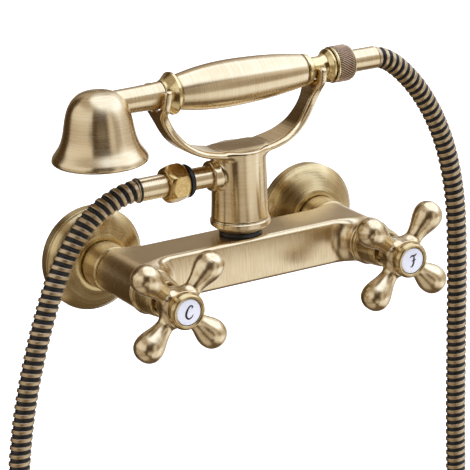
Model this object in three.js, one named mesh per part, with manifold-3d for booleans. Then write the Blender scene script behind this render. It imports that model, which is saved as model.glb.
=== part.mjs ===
// Wall mounted bath mixer in antique brass: two cross handles, a swivelling column that carries a
// telephone cradle, a bell shaped hand shower lying in the cradle, and its metal hose.
// Millimetres. +X runs along the body to the right, +Y goes into the wall, +Z is up.
// The origin is on the face of the wall, midway between the two water inlets.

import * as THREE from 'three';
import { mergeVertices } from 'three/addons/utils/BufferGeometryUtils.js';
import Module from 'manifold-3d';

const wasm = await Module();
wasm.setup();

// ---------------------------------------------------------------- driving dimensions
const GAP = 0.3; // clearance between touching pieces
const INLET_SPACING = 150; // centre distance of the two supply pipes
const INLET_X = INLET_SPACING / 2;

const BODY_HALF_HEIGHT = 13.5;
const BODY_BACK = 36; // distance out from the wall
const BODY_FRONT = 66;
const BODY_EDGE = 5; // rounding of the long edges
const CHAMBER_R = 14;
const CHAMBER_BACK = 34;
const CHAMBER_FRONT = 76;
const VALVE_BORE_R = 9.2;
const VALVE_SEAT = 50; // where the valve bore ends
const WATERWAY_R = 6.5;
const TOP_PORT_R = 8.3; // takes the column's spigot
const UNION_NECK_R = 9.6; // neck that the union nut turns on
const UNION_LIP_R = 11.2; // lip that holds the union nut
const UNION_LIP_BACK = 28.4;
const UNION_LIP_FRONT = 30.4;

const ROSETTE_R = 31.5;
const ROSETTE_BAND = 7;
const ROSETTE_DEPTH = 17.2;
const ROSETTE_WALL = 2;

const NUT_BACK = 17.6;
const NUT_R = 14;
const UNION_IN_WALL = 15; // length of thread inside the wall
const UNION_THREAD_R = 10.4; // half inch pipe thread
const UNION_BORE_R = 6.5;
const UNION_NUT_THREAD_R = 11.8; // three quarter inch thread for the nut
const UNION_FRONT = 26.2;

const CARTRIDGE_R = 8.9;
const CARTRIDGE_BACK = 54;
const CARTRIDGE_FRONT = 90;
const CARTRIDGE_HEX_R = 7.4;
const BONNET_R = 12.4;
const BONNET_FRONT = 95;
const BONNET_FRONT_R = 10.6;
const BONNET_WALL = 1.8;

const HANDLE_PLANE = 109; // distance of the handle's arms from the wall
const ARM_REACH = 28.4; // handle axis to the centre of each ball end
const ARM_BALL_R = 8.6;
const ARM_NECK_R = 5.2;
const HANDLE_ARMS = 4;
const HUB_BACK = 98;
const HUB_FRONT = 114.5;
const HUB_R = 11;
const BEZEL_R = 10.8;
const BEZEL_FRONT = 121;
const INDEX_R = 7.6;
const INDEX_SEAT = 117.4; // floor of the ring's recess
const SPINDLE_R = 4.2;
const SPLINES_FROM = 91;
const SPLINES_LENGTH = 17;
const SPLINE_TEETH = 8;
const SCREW_BORE_R = 2; // threaded bore of the handle's screw and the spray plate's screw
const SCREW_BORE_SIDES = 8;
const HANDLE_SCREW_R = 1.5;

const COLUMN_Y = -51; // the column, cradle and hand shower lie in this plane
const COLUMN_R = 16.4;
const COLUMN_FOOT_R = 17.2;
const COLLAR_BOTTOM = 16.5;
const COLUMN_BOTTOM = 24.3;
const COLUMN_TOP = 62.4;
const COLUMN_BORE_R = 10.8;
const COLUMN_WATERWAY_R = 7;
const SPIGOT_R = 10.4;
const SPIGOT_BORE_R = 5;
const SPIGOT_THREAD_R = 8;
const SPIGOT_TOP = 36;
const COLLAR_R = 18.2;

const SADDLE_TOP = 66.8;
const SADDLE_WIDTH = 24;
const ARM_WIDTH = 13.5;
const SLOT_Z = 105.3; // where the slots' round bottoms start
const LEAN_FROM = 97; // height above which an arm leans in
const YOKE_REACH = 60;
// Half widths of fork and slot, depth of the slot's round bottom, height and inward lean of the tips.
const LEFT_FORK = { half: 14.1, slot: 9.6, cup: 8.4, tip: 110.8, lean: 2.2 };
const RIGHT_FORK = { half: 12.5, slot: 6.9, cup: 6.9, tip: 108, lean: 0 };

const OUTLET_Z = 51.8;
const OUTLET_BOSS_R = 9;
const OUTLET_BOSS_END = 20.4; // distance of the boss's face from the column's axis
const OUTLET_BORE_R = 6.2;
const NIPPLE_R = 6.5;
const HOSE_THREAD_R = 8;
const HEX_ACROSS_CORNERS = 23.6;
const HEX_NEAR = 36.8; // distances of the nut's ends from the column's axis
const HEX_FAR = 50.3;
const HOSE_BORE_R = 3.6;
const FERRULE_R = 6.8;
const HOSE_R = 6.4;
const HOSE_SIDES = 10;
const HOSE_STEPS = 24; // rings along each half of the hose

const SHOWER_Z = 105.3; // axis of the hand shower
const NECK_END = -50.2;
const GRIP_FROM = -40.9;
const GRIP_TO = 44.6;
const TUBE_SEAT_R = 6.5; // bore of the pieces that sit on the water tube
const TUBE_R = 6.2;
const TAIL_BORE_R = 4.4;
const TAIL_THREAD_R = 7.7;

const BELL_X = -90;
const BELL_TOP = 114.2;
const BELL_CEILING = 111.8; // top of the hollow inside the bell
const SPRAY_PLATE_R = 23.2;
const SPRAY_HOLE_R = 1;
const SPRAY_RINGS = [[6, 10], [12, 17.5]]; // how many holes, and how far from the bell's axis

const FINE = 20; // sides of the large turned pieces
const PLAIN = 16; // sides of the others
const SMALL = 12; // sides of small and hidden round features

// ---------------------------------------------------------------- finishes
const brushedBrass = new THREE.MeshStandardMaterial({ color: 0xb79c6b, roughness: 0.38, metalness: 1 });
const polishedBrass = new THREE.MeshStandardMaterial({ color: 0xc9ad74, roughness: 0.22, metalness: 1 });
const rawBrass = new THREE.MeshStandardMaterial({ color: 0xa9853f, roughness: 0.4, metalness: 1 });
const darkBrass = new THREE.MeshStandardMaterial({ color: 0x8a7057, roughness: 0.5, metalness: 1 });
const steel = new THREE.MeshStandardMaterial({ color: 0xb4b4b4, roughness: 0.35, metalness: 1 });
const blackRubber = new THREE.MeshStandardMaterial({ color: 0x17140f, roughness: 0.7, metalness: 0 });
const porcelain = new THREE.MeshStandardMaterial({ color: 0xe9e7ee, roughness: 0.15, metalness: 0 });
const hoseMetal = new THREE.MeshStandardMaterial({ color: 0x8f7650, roughness: 0.45, metalness: 1 });

// ---------------------------------------------------------------- solids from geometry

// Signed volume of an indexed closed mesh, positive when its faces point out.
function signedVolume(position, index) {
  const [a, b, c] = [new THREE.Vector3(), new THREE.Vector3(), new THREE.Vector3()];
  let volume = 0;
  for (let i = 0; i < index.length; i += 3) {
    a.fromBufferAttribute(position, index[i]);
    b.fromBufferAttribute(position, index[i + 1]);
    c.fromBufferAttribute(position, index[i + 2]);
    volume += a.dot(b.cross(c)) / 6;
  }
  return volume;
}

// Position-only geometry with shared vertices, no empty triangles, and faces pointing out.
function welded(geometry) {
  const bare = geometry.index ? geometry.toNonIndexed() : geometry.clone();
  for (const name of Object.keys(bare.attributes)) {
    if (name !== 'position') bare.deleteAttribute(name);
  }
  const merged = mergeVertices(bare, 1e-4);
  const index = [];
  for (let i = 0; i < merged.index.count; i += 3) {
    const [a, b, c] = [0, 1, 2].map((k) => merged.index.getX(i + k));
    if (a !== b && b !== c && c !== a) index.push(a, b, c);
  }
  if (signedVolume(merged.attributes.position, index) < 0) index.reverse();
  merged.setIndex(index);
  return merged;
}

function toSolid(geometry) {
  const mesh = welded(geometry);
  return new wasm.Manifold(
    new wasm.Mesh({
      numProp: 3,
      vertProperties: new Float32Array(mesh.attributes.position.array),
      triVerts: new Uint32Array(mesh.index.array),
    }),
  );
}

function toGeometry(solid) {
  const mesh = solid.getMesh();
  const geometry = new THREE.BufferGeometry();
  geometry.setAttribute('position', new THREE.BufferAttribute(mesh.vertProperties, 3));
  geometry.setIndex(new THREE.BufferAttribute(mesh.triVerts, 1));
  return geometry;
}

// Joins the first list of geometries and cuts the second list out of the result.
function carved(joined, cut = []) {
  let solid = toSolid(joined[0]);
  for (const geometry of joined.slice(1)) solid = solid.add(toSolid(geometry));
  for (const geometry of cut) solid = solid.subtract(toSolid(geometry));
  return toGeometry(solid);
}

function common(a, b) {
  return toGeometry(toSolid(a).intersect(toSolid(b)));
}

// ---------------------------------------------------------------- basic shapes

// A turned shape about +Z from [radius, height] points.
function turned(points, segments = PLAIN) {
  const profile = points.map(([r, h]) => new THREE.Vector2(r, h));
  return new THREE.LatheGeometry(profile, segments).rotateX(Math.PI / 2);
}

// A turned ring: its profile closes on itself.
function ring(points, segments = PLAIN) {
  return turned([...points, points[0]], segments);
}

// A plain sleeve between two heights.
function sleeve(inner, outer, from, to, segments = SMALL) {
  return ring([[inner, from], [outer, from], [outer, to], [inner, to]], segments);
}

function rod(radius, from, to, segments = PLAIN) {
  return turned([[0, from], [radius, from], [radius, to], [0, to]], segments);
}

// Turns a shape about +Z so that its axis points out of the wall, at the side x.
function outward(geometry, x) {
  return geometry.rotateX(Math.PI / 2).translate(x, 0, 0);
}

// Turns a shape about +Z so that its axis points along +X, in the plane of the column.
function sideways(geometry, z) {
  return geometry.rotateY(Math.PI / 2).translate(0, COLUMN_Y, z);
}

function upright(geometry, x = 0) {
  return geometry.translate(x, COLUMN_Y, 0);
}

// An outline in the XZ plane, given as [x, z] points, extruded along Y between two distances.
function plateXZ(points, yFrom, yTo) {
  const shape = new THREE.Shape(points.map(([x, z]) => new THREE.Vector2(x, z)));
  const depth = Math.abs(yTo - yFrom);
  const geometry = new THREE.ExtrudeGeometry(shape, { depth, bevelEnabled: false });
  return geometry.rotateX(Math.PI / 2).translate(0, Math.max(yFrom, yTo), 0);
}

// A smooth run of points through the given ones.
function smooth(points, divisions) {
  const curve = new THREE.SplineCurve(points.map(([x, z]) => new THREE.Vector2(x, z)));
  return curve.getPoints(divisions).map((p) => [p.x, p.y]);
}

// ---------------------------------------------------------------- fixed body

function mixerBody() {
  const depth = BODY_FRONT - BODY_BACK;
  const h = BODY_HALF_HEIGHT;
  const section = new THREE.Shape();
  section.moveTo(-depth / 2 + BODY_EDGE, -h);
  section.lineTo(depth / 2 - BODY_EDGE, -h);
  section.absarc(depth / 2 - BODY_EDGE, -h + BODY_EDGE, BODY_EDGE, -Math.PI / 2, 0);
  section.absarc(depth / 2 - BODY_EDGE, h - BODY_EDGE, BODY_EDGE, 0, Math.PI / 2);
  section.absarc(-depth / 2 + BODY_EDGE, h - BODY_EDGE, BODY_EDGE, Math.PI / 2, Math.PI);
  section.absarc(-depth / 2 + BODY_EDGE, -h + BODY_EDGE, BODY_EDGE, Math.PI, Math.PI * 1.5);
  const run = { depth: INLET_SPACING, bevelEnabled: false, curveSegments: 4 };
  const bar = new THREE.ExtrudeGeometry(section, run);
  bar.rotateX(Math.PI / 2).rotateZ(Math.PI / 2);
  bar.translate(-INLET_X, -(BODY_FRONT + BODY_BACK) / 2, 0);
  const joined = [bar];
  const cut = [sideways(rod(WATERWAY_R, -INLET_X, INLET_X, SMALL), 0)];
  for (const side of [-1, 1]) {
    const x = side * INLET_X;
    joined.push(outward(rod(CHAMBER_R, CHAMBER_BACK, CHAMBER_FRONT), x));
    joined.push(outward(rod(UNION_NECK_R, UNION_LIP_FRONT, CHAMBER_BACK + 1), x));
    joined.push(outward(rod(UNION_LIP_R, UNION_LIP_BACK, UNION_LIP_FRONT + 0.2), x));
    cut.push(outward(rod(UNION_BORE_R, UNION_LIP_BACK - 8, VALVE_SEAT - 4, SMALL), x));
    cut.push(outward(rod(VALVE_BORE_R, VALVE_SEAT, CHAMBER_FRONT + 10), x));
  }
  cut.push(upright(rod(TOP_PORT_R, 0, BODY_HALF_HEIGHT + 5)));
  return carved(joined, cut);
}

function rosette(x) {
  const w = ROSETTE_WALL;
  const outer = [
    [ROSETTE_R, 0],
    [ROSETTE_R, ROSETTE_BAND - 1],
    [ROSETTE_R - 0.8, ROSETTE_BAND],
    [28.5, 9.6],
    [24.5, 12.4],
    [20, 14.9],
    [16.4, ROSETTE_DEPTH],
  ];
  const inner = [
    [UNION_NUT_THREAD_R + GAP, ROSETTE_DEPTH],
    [UNION_NUT_THREAD_R + GAP, ROSETTE_DEPTH - 1.8],
    [14.6, ROSETTE_DEPTH - 1.9],
    [19, 13],
    [23.3, 10.6],
    [27.2, 7.8],
    [ROSETTE_R - w, 5.6],
    [ROSETTE_R - w, 0],
  ];
  return outward(ring([...outer, ...inner], FINE), x);
}

// Supply union: it screws into the wall pipe, and its front face seals against the body's lip.
function wallUnion(x) {
  return outward(
    ring([
      [UNION_BORE_R, -UNION_IN_WALL],
      [UNION_THREAD_R, -UNION_IN_WALL],
      [UNION_THREAD_R, 3],
      [UNION_NUT_THREAD_R, 3],
      [UNION_NUT_THREAD_R, UNION_FRONT],
      [UNION_BORE_R, UNION_FRONT],
    ], SMALL),
    x,
  );
}

function unionWasher(x) {
  return outward(sleeve(7, UNION_LIP_R, UNION_FRONT + GAP, UNION_LIP_BACK - GAP), x);
}

function unionNut(x) {
  const front = CHAMBER_BACK - GAP;
  return outward(
    ring([
      [UNION_NUT_THREAD_R + GAP, NUT_BACK],
      [NUT_R - 1, NUT_BACK],
      [NUT_R - 0.3, NUT_BACK + 1.4],
      [NUT_R, front - 2],
      [NUT_R - 0.8, front],
      [UNION_NECK_R + GAP, front],
      [UNION_NECK_R + GAP, 30.9],
      [UNION_NUT_THREAD_R + GAP, 30.9],
    ]),
    x,
  );
}

function bonnet(x) {
  const back = CHAMBER_FRONT + GAP;
  const w = BONNET_WALL;
  return outward(
    ring([
      [BONNET_R - w, back],
      [BONNET_R + 0.8, back],
      [BONNET_R + 1.4, back + 1],
      [BONNET_R + 0.8, back + 2.2],
      [BONNET_R, back + 2.8],
      [BONNET_R - 0.6, back + 8],
      [BONNET_FRONT_R, BONNET_FRONT - 0.8],
      [BONNET_FRONT_R - 0.6, BONNET_FRONT],
      [BONNET_FRONT_R - w, BONNET_FRONT],
      [BONNET_R - w - 0.6, back + 8],
    ]),
    x,
  );
}

// Quarter-turn ceramic disc cartridge: threaded body, gasket foot, hexagon, and a bore for the spindle.
function ceramicHeadwork(x) {
  return outward(
    ring([
      [SPINDLE_R + GAP, CARTRIDGE_BACK],
      [CARTRIDGE_R, CARTRIDGE_BACK],
      [CARTRIDGE_R, CHAMBER_FRONT + GAP],
      [CARTRIDGE_R + 0.7, CHAMBER_FRONT + GAP],
      [CARTRIDGE_R + 0.7, 83],
      [CARTRIDGE_HEX_R, 83.3],
      [CARTRIDGE_HEX_R, CARTRIDGE_FRONT],
      [SPINDLE_R + GAP, CARTRIDGE_FRONT],
    ], SMALL),
    x,
  );
}

function headworkGasket(x) {
  return outward(sleeve(5, CARTRIDGE_R - GAP, VALVE_SEAT + GAP, CARTRIDGE_BACK - GAP), x);
}

// ---------------------------------------------------------------- handles

function spindle(x) {
  const outline = [];
  for (let i = 0; i < SPLINE_TEETH * 2; i += 1) {
    const angle = (i / (SPLINE_TEETH * 2)) * Math.PI * 2;
    const r = i % 2 ? SPINDLE_R - 0.5 : SPINDLE_R;
    outline.push(new THREE.Vector2(r * Math.cos(angle), r * Math.sin(angle)));
  }
  const run = { depth: SPLINES_LENGTH, bevelEnabled: false };
  const splines = new THREE.ExtrudeGeometry(new THREE.Shape(outline), run).translate(0, 0, SPLINES_FROM);
  const shaft = rod(SPINDLE_R - 0.1, CARTRIDGE_BACK + GAP, SPLINES_FROM + 0.2, SMALL);
  const bore = rod(SCREW_BORE_R, HUB_BACK + 2, HUB_FRONT, SCREW_BORE_SIDES);
  return outward(carved([shaft, splines], [bore]), x);
}

// Four teardrop arms on a round hub that is open at the back for the bonnet and the spindle.
function crossHandle(x, turn) {
  const arm = turned([
    [0, 0],
    [ARM_NECK_R, 0],
    [ARM_NECK_R, 15],
    [6.6, 20.5],
    [8.2, 25],
    [ARM_BALL_R, ARM_REACH + 0.6],
    [7.2, ARM_REACH + 4.8],
    [4, ARM_REACH + 7.7],
    [0, ARM_REACH + ARM_BALL_R],
  ], SMALL);
  const hub = turned([
    [0, HUB_BACK],
    [9.2, HUB_BACK],
    [9.8, HUB_BACK + 1],
    [HUB_R - 1, HUB_BACK + 4.5],
    [HUB_R + 0.6, HANDLE_PLANE - 2],
    [HUB_R + 0.6, HANDLE_PLANE + 2],
    [HUB_R - 0.6, HUB_FRONT],
    [0, HUB_FRONT],
  ]);
  const joined = [hub];
  for (let i = 0; i < HANDLE_ARMS; i += 1) {
    const angle = turn + ((i + 0.5) / HANDLE_ARMS) * Math.PI * 2;
    joined.push(arm.clone().rotateY(Math.PI / 2).rotateZ(angle).translate(0, 0, HANDLE_PLANE));
  }
  const cut = [
    rod(SPINDLE_R + GAP, HUB_BACK - 1, HANDLE_PLANE, SMALL),
    rod(CARTRIDGE_HEX_R + 0.5, HUB_BACK - 1, HUB_BACK + 2.5, SMALL),
    rod(2.4, HANDLE_PLANE - 1, HANDLE_PLANE + 3, 6),
    rod(8.1, HANDLE_PLANE + 2, HUB_FRONT + 1, SMALL),
  ];
  return outward(carved(joined, cut), x);
}

function handleScrew(x) {
  const head = HANDLE_PLANE + 2.4;
  const top = head + 1.8;
  const screw = turned([
    [0, 101.5],
    [HANDLE_SCREW_R, 101.5],
    [HANDLE_SCREW_R, head],
    [3.6, head],
    [3.6, top],
    [0, top],
  ], 8);
  const slot = new THREE.BoxGeometry(8, 0.9, 1.6).translate(0, 0, top);
  return outward(carved([screw], [slot]), x);
}

// Screwed ring that frames the porcelain mark.
function indexBezel(x) {
  const back = HUB_FRONT + GAP;
  return outward(
    ring([
      [6.4, back],
      [BEZEL_R - 0.8, back],
      [BEZEL_R, back + 1.6],
      [BEZEL_R - 0.1, back + 3.6],
      [BEZEL_R - 0.8, BEZEL_FRONT - 1],
      [9.2, BEZEL_FRONT],
      [INDEX_R + GAP, BEZEL_FRONT - 0.5],
      [INDEX_R + GAP, INDEX_SEAT],
      [6.4, INDEX_SEAT],
    ]),
    x,
  );
}

function porcelainIndex(x) {
  const back = INDEX_SEAT + GAP;
  return outward(
    turned([
      [0, back],
      [INDEX_R, back],
      [INDEX_R, back + 2.2],
      [6.2, 120.9],
      [0, 121.3],
    ]),
    x,
  );
}

// ---------------------------------------------------------------- column and cradle

// Threaded spigot that brings the mixed water up and carries the swivelling column.
function spigot() {
  return upright(
    ring([
      [SPIGOT_BORE_R, 3],
      [SPIGOT_THREAD_R, 3],
      [SPIGOT_THREAD_R, BODY_HALF_HEIGHT + GAP],
      [SPIGOT_R, BODY_HALF_HEIGHT + GAP],
      [SPIGOT_R, 30],
      [8.6, 30.4],
      [8.6, 33],
      [SPIGOT_R, 33.4],
      [SPIGOT_R, SPIGOT_TOP],
      [SPIGOT_BORE_R, SPIGOT_TOP],
    ], SMALL),
  );
}

function swivelSeal() {
  return upright(sleeve(SPIGOT_R + GAP, 12.8, BODY_HALF_HEIGHT + GAP, 16.2));
}

function spigotORing() {
  return upright(sleeve(8.9, 10.5, 30.7, 32.7));
}

function swivelCollar() {
  return upright(
    ring([
      [COLUMN_BORE_R, COLLAR_BOTTOM],
      [12.8, COLLAR_BOTTOM],
      [16.6, 19.2],
      [COLLAR_R - 0.4, 20.4],
      [COLLAR_R, 21.6],
      [COLLAR_R - 0.4, 22.9],
      [COLUMN_FOOT_R, 23.6],
      [COLUMN_FOOT_R, COLUMN_BOTTOM - GAP],
      [COLUMN_BORE_R, COLUMN_BOTTOM - GAP],
    ], FINE),
  );
}

function cradleColumn() {
  const tube = upright(
    turned([
      [0, COLUMN_BOTTOM],
      [COLUMN_FOOT_R, COLUMN_BOTTOM],
      [COLUMN_FOOT_R - 0.5, 30],
      [COLUMN_R, 40],
      [COLUMN_R, COLUMN_TOP],
      [0, COLUMN_TOP],
    ], FINE),
  );
  const boss = sideways(
    turned([
      [0, -OUTLET_BOSS_END],
      [OUTLET_BOSS_R - 1, -OUTLET_BOSS_END],
      [OUTLET_BOSS_R, 1 - OUTLET_BOSS_END],
      [OUTLET_BOSS_R, 0],
      [0, 0],
    ]),
    OUTLET_Z,
  );
  const cut = [
    upright(rod(COLUMN_BORE_R, COLUMN_BOTTOM - 1, SPIGOT_TOP + 2)),
    upright(rod(COLUMN_WATERWAY_R, SPIGOT_TOP + 1, OUTLET_Z + OUTLET_BORE_R, SMALL)),
    sideways(rod(OUTLET_BORE_R, -OUTLET_BOSS_END - 2, 0, SMALL), OUTLET_Z),
  ];
  return carved([tube, boss], cut);
}

// Inner and outer edge of the right arm, from the saddle up to the fork's tip, as [x, z].
const ARM_INNER = [
  [16, 68],
  [24, 69.5],
  [30, 71.7],
  [37, 76.2],
  [41, 80.5],
  [44, 84.6],
  [47, 90],
  [49.5, 95],
  [50.7, 100],
];
const ARM_OUTER = [
  [17, 63.6],
  [24, 65],
  [30.5, 67.2],
  [37.5, 70.8],
  [44.5, 76.6],
  [49, 82.6],
  [52.4, 89],
  [54.9, 95],
  [55.6, 101],
];

// Right half of the yoke seen from the front, with the blunt end of its fork.
function armOutline(fork) {
  const inner = smooth(ARM_INNER, 9);
  const outer = smooth(ARM_OUTER, 9).reverse();
  const end = [[50.8, fork.tip - 1.6], [51.8, fork.tip], [54.6, fork.tip], [55.6, fork.tip - 1.6]];
  return [...inner, ...end, ...outer].map(([x, z]) => {
    const rise = Math.max(0, z - LEAN_FROM) / (fork.tip - LEAN_FROM);
    return [x - fork.lean * rise, z];
  });
}

// The yoke seen from the front: saddle and two swept arms.
function yokeOutline() {
  const left = armOutline(LEFT_FORK).map(([x, z]) => [-x, z]).reverse();
  return [[0, SADDLE_TOP], ...armOutline(RIGHT_FORK), ...left];
}

// The yoke seen from its end: how wide it is at each height, with a fork of two round tipped prongs.
function yokeSide(fork) {
  const profile = smooth(
    [
      [SADDLE_WIDTH / 2, 60],
      [SADDLE_WIDTH / 2 - 0.4, 66],
      [SADDLE_WIDTH / 2 - 2.6, 71.5],
      [ARM_WIDTH / 2 + 0.9, 78],
      [ARM_WIDTH / 2, 87],
      [ARM_WIDTH / 2 + 1.6, 93],
      [fork.half - 1, 98.5],
      [fork.half, 103],
    ],
    9,
  );
  const prong = (fork.half - fork.slot) / 2;
  const centre = fork.slot + prong;
  const tip = [];
  for (let i = 0; i <= 4; i += 1) {
    const angle = (i / 4) * Math.PI;
    tip.push([centre + prong * Math.cos(angle), fork.tip - prong + prong * Math.sin(angle)]);
  }
  const cup = [];
  for (let i = 1; i < 4; i += 1) {
    const angle = (i / 8) * Math.PI;
    cup.push([fork.slot * Math.cos(angle), SLOT_Z - fork.cup * Math.sin(angle)]);
  }
  const half = [...profile, ...tip, [fork.slot, SLOT_Z], ...cup];
  const mirrored = half.map(([y, z]) => [-y, z]).reverse();
  return [...half, [0, SLOT_Z - fork.cup], ...mirrored];
}

// A [y, z] outline extruded along X between two distances, in the plane of the column.
function plateYZ(points, xFrom, xTo) {
  return plateXZ(points, 0, xTo - xFrom).rotateZ(Math.PI / 2).translate(xTo, COLUMN_Y, 0);
}

function cradleYoke() {
  const half = LEFT_FORK.half + 2;
  const front = plateXZ(yokeOutline(), COLUMN_Y - half, COLUMN_Y + half);
  const left = common(front, plateYZ(yokeSide(LEFT_FORK), -YOKE_REACH, 0));
  const right = common(front, plateYZ(yokeSide(RIGHT_FORK), 0, YOKE_REACH));
  const cap = upright(
    turned([
      [0, COLUMN_TOP + GAP],
      [COLUMN_R, COLUMN_TOP + GAP],
      [COLUMN_R, SADDLE_TOP - 1.8],
      [COLUMN_R - 0.6, SADDLE_TOP - 0.6],
      [COLUMN_R - 2, SADDLE_TOP],
      [0, SADDLE_TOP],
    ], FINE),
  );
  return carved([cap, left, right]);
}

// ---------------------------------------------------------------- hose outlet on the column

function outletNipple() {
  return sideways(
    ring([
      [4, -14],
      [5.9, -14],
      [5.9, -20.7],
      [NIPPLE_R, -20.7],
      [NIPPLE_R, -33],
      [HOSE_THREAD_R - 0.4, -33.3],
      [HOSE_THREAD_R - 0.4, -43.8],
      [4, -43.8],
    ], SMALL),
    OUTLET_Z,
  );
}

function outletCollar() {
  const seat = HOSE_THREAD_R - 0.1;
  return sideways(ring([[seat, -33.4], [8.7, -33.4], [9.8, -35], [9.8, -36.5], [seat, -36.5]]), OUTLET_Z);
}

// Six sided nut with its corners turned off at both ends.
function hoseHexNut() {
  const r = HEX_ACROSS_CORNERS / 2;
  const hex = rod(r, -HEX_FAR, -HEX_NEAR, 6).rotateZ(Math.PI / 6);
  const turnedOff = turned([
    [0, -HEX_FAR - 1],
    [9.2, -HEX_FAR],
    [r, -HEX_FAR + 3.4],
    [r, -HEX_NEAR - 3],
    [9.9, -HEX_NEAR],
    [0, -HEX_NEAR + 1],
  ]);
  const thread = rod(HOSE_THREAD_R, -HEX_FAR + 1.7, -HEX_NEAR + 1, SMALL);
  const mouth = rod(FERRULE_R + GAP, -HEX_FAR - 1, -HEX_FAR + 2, SMALL);
  return sideways(carved([common(hex, turnedOff)], [thread, mouth]), OUTLET_Z);
}

function hoseSeal(from, to, z) {
  return sideways(sleeve(4, 7.4, from, to), z);
}

// Crimped sleeve on the end of the hose, with a flange inside the nut.
function ferrule(flange, neck, end, z) {
  const s = Math.sign(end);
  return sideways(
    ring([
      [HOSE_BORE_R, flange],
      [HOSE_THREAD_R - 0.4, flange],
      [HOSE_THREAD_R - 0.4, flange + s * 1.8],
      [FERRULE_R, flange + s * 2],
      [FERRULE_R, neck],
      [7.3, neck + s * 0.4],
      [7.3, end - s * 0.4],
      [FERRULE_R, end],
      [HOSE_BORE_R, end],
    ], SMALL),
    z,
  );
}

// ---------------------------------------------------------------- hand shower

function showerBell() {
  const shell = ring([
    [0.01, BELL_TOP],
    [7, 113.7],
    [12.4, 111.4],
    [16.4, 106.4],
    [18.6, 100],
    [20.3, 91.4],
    [21.7, 85.5],
    [24.4, 80.4],
    [26.9, 77.2],
    [27.6, 75.2],
    [26.2, 73.2],
    [24.8, 73.6],
    [24.8, 77.4],
    [22.4, 78.8],
    [19.2, 86],
    [17.6, 94],
    [15.8, 101.4],
    [12.6, 107.8],
    [8, 110.8],
    [0.01, BELL_CEILING],
  ], FINE);
  const post = upright(rod(3.4, 79, BELL_CEILING + 0.8, 8), BELL_X); // takes the screw of the spray plate
  const shaft = sideways(rod(7.7, -86, -60), SHOWER_Z);
  const thread = upright(rod(SCREW_BORE_R, 78, 86, SCREW_BORE_SIDES), BELL_X);
  return carved([upright(closedDome(shell), BELL_X), post], [shaft, thread]);
}

// A dome turned with a pin hole on its axis is filled there, so that the wall is one skin.
function closedDome(shell) {
  return carved([shell, rod(0.5, BELL_CEILING, BELL_TOP, 6)]);
}

// Spray face: a shallow dished plate with rings of holes.
function sprayPlate() {
  const plate = turned([
    [0, 73.6],
    [8, 73.7],
    [18, 74],
    [SPRAY_PLATE_R, 74.4],
    [SPRAY_PLATE_R, 76.2],
    [0, 76.2],
  ], FINE);
  const cut = [rod(SCREW_BORE_R, 70, 80, SCREW_BORE_SIDES)];
  for (const [count, radius] of SPRAY_RINGS) {
    for (let i = 0; i < count; i += 1) {
      const angle = (i / count) * Math.PI * 2;
      const hole = rod(SPRAY_HOLE_R, 70, 80, 4);
      cut.push(hole.translate(radius * Math.cos(angle), radius * Math.sin(angle), 0));
    }
  }
  return upright(carved([plate], cut), BELL_X);
}

function sprayPlateSeal() {
  return upright(sleeve(SPRAY_PLATE_R + GAP, SPRAY_PLATE_R + 1.3, 74.2, 76.9, FINE), BELL_X);
}

function sprayScrew() {
  const screw = turned([[0, 72.4], [2.6, 72.4], [3.2, 73.2], [1.6, 73.3], [1.6, 84], [0, 84]], 8);
  return upright(screw, BELL_X);
}

function showerNeck() {
  return sideways(
    ring([[5, -76], [7.3, -76], [7.4, -68], [7.7, -58], [8, NECK_END], [5, NECK_END]], PLAIN),
    SHOWER_Z,
  );
}

function frontCollar() {
  return sideways(
    ring([
      [TUBE_SEAT_R, NECK_END + GAP],
      [8.4, NECK_END + GAP],
      [9.4, -48.4],
      [11.4, -45.6],
      [12.4, -43.8],
      [12.4, -42.8],
      [11, -41.6],
      [10, GRIP_FROM - GAP],
      [TUBE_SEAT_R, GRIP_FROM - GAP],
    ], PLAIN),
    SHOWER_Z,
  );
}

// Water tube that runs through the grip and holds the collars and the grip together.
function waterTube() {
  return sideways(sleeve(4.6, TUBE_R, NECK_END + GAP, 50.2), SHOWER_Z);
}

function grip() {
  const profile = smooth(
    [
      [9.9, GRIP_FROM],
      [11.2, -34],
      [12.5, -26],
      [13.5, -15],
      [13.8, -5],
      [13.6, 5],
      [13, 17],
      [12, 28],
      [10.8, 37],
      [9.6, GRIP_TO],
    ],
    9,
  );
  return sideways(ring([...profile, [TUBE_SEAT_R, GRIP_TO], [TUBE_SEAT_R, GRIP_FROM]], FINE), SHOWER_Z);
}

function rearCollar() {
  return sideways(
    ring([
      [TUBE_SEAT_R, GRIP_TO + GAP],
      [9.4, GRIP_TO + GAP],
      [9.5, 46],
      [8.9, 47.4],
      [8.6, 49.4],
      [7.2, 50.2],
      [TUBE_SEAT_R, 50.2],
    ], PLAIN),
    SHOWER_Z,
  );
}

function showerTail() {
  return sideways(
    ring([
      [TAIL_BORE_R, 50.5],
      [6.6, 50.5],
      [6.5, 58],
      [7.6, 60],
      [10, 62],
      [10.2, 63.4],
      [TAIL_THREAD_R, 63.6],
      [TAIL_THREAD_R, 70.8],
      [TAIL_BORE_R, 70.8],
    ], PLAIN),
    SHOWER_Z,
  );
}

function knurledNut() {
  return sideways(
    ring([
      [HOSE_THREAD_R, 63.9],
      [10.6, 63.9],
      [10.9, 65],
      [10.6, 66.4],
      [11, 67],
      [11, 75.4],
      [10.5, 76.4],
      [9.2, 77.6],
      [FERRULE_R + GAP, 77.6],
      [FERRULE_R + GAP, 75.8],
      [HOSE_THREAD_R, 75.4],
    ], PLAIN),
    SHOWER_Z,
  );
}

// ---------------------------------------------------------------- hose

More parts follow.
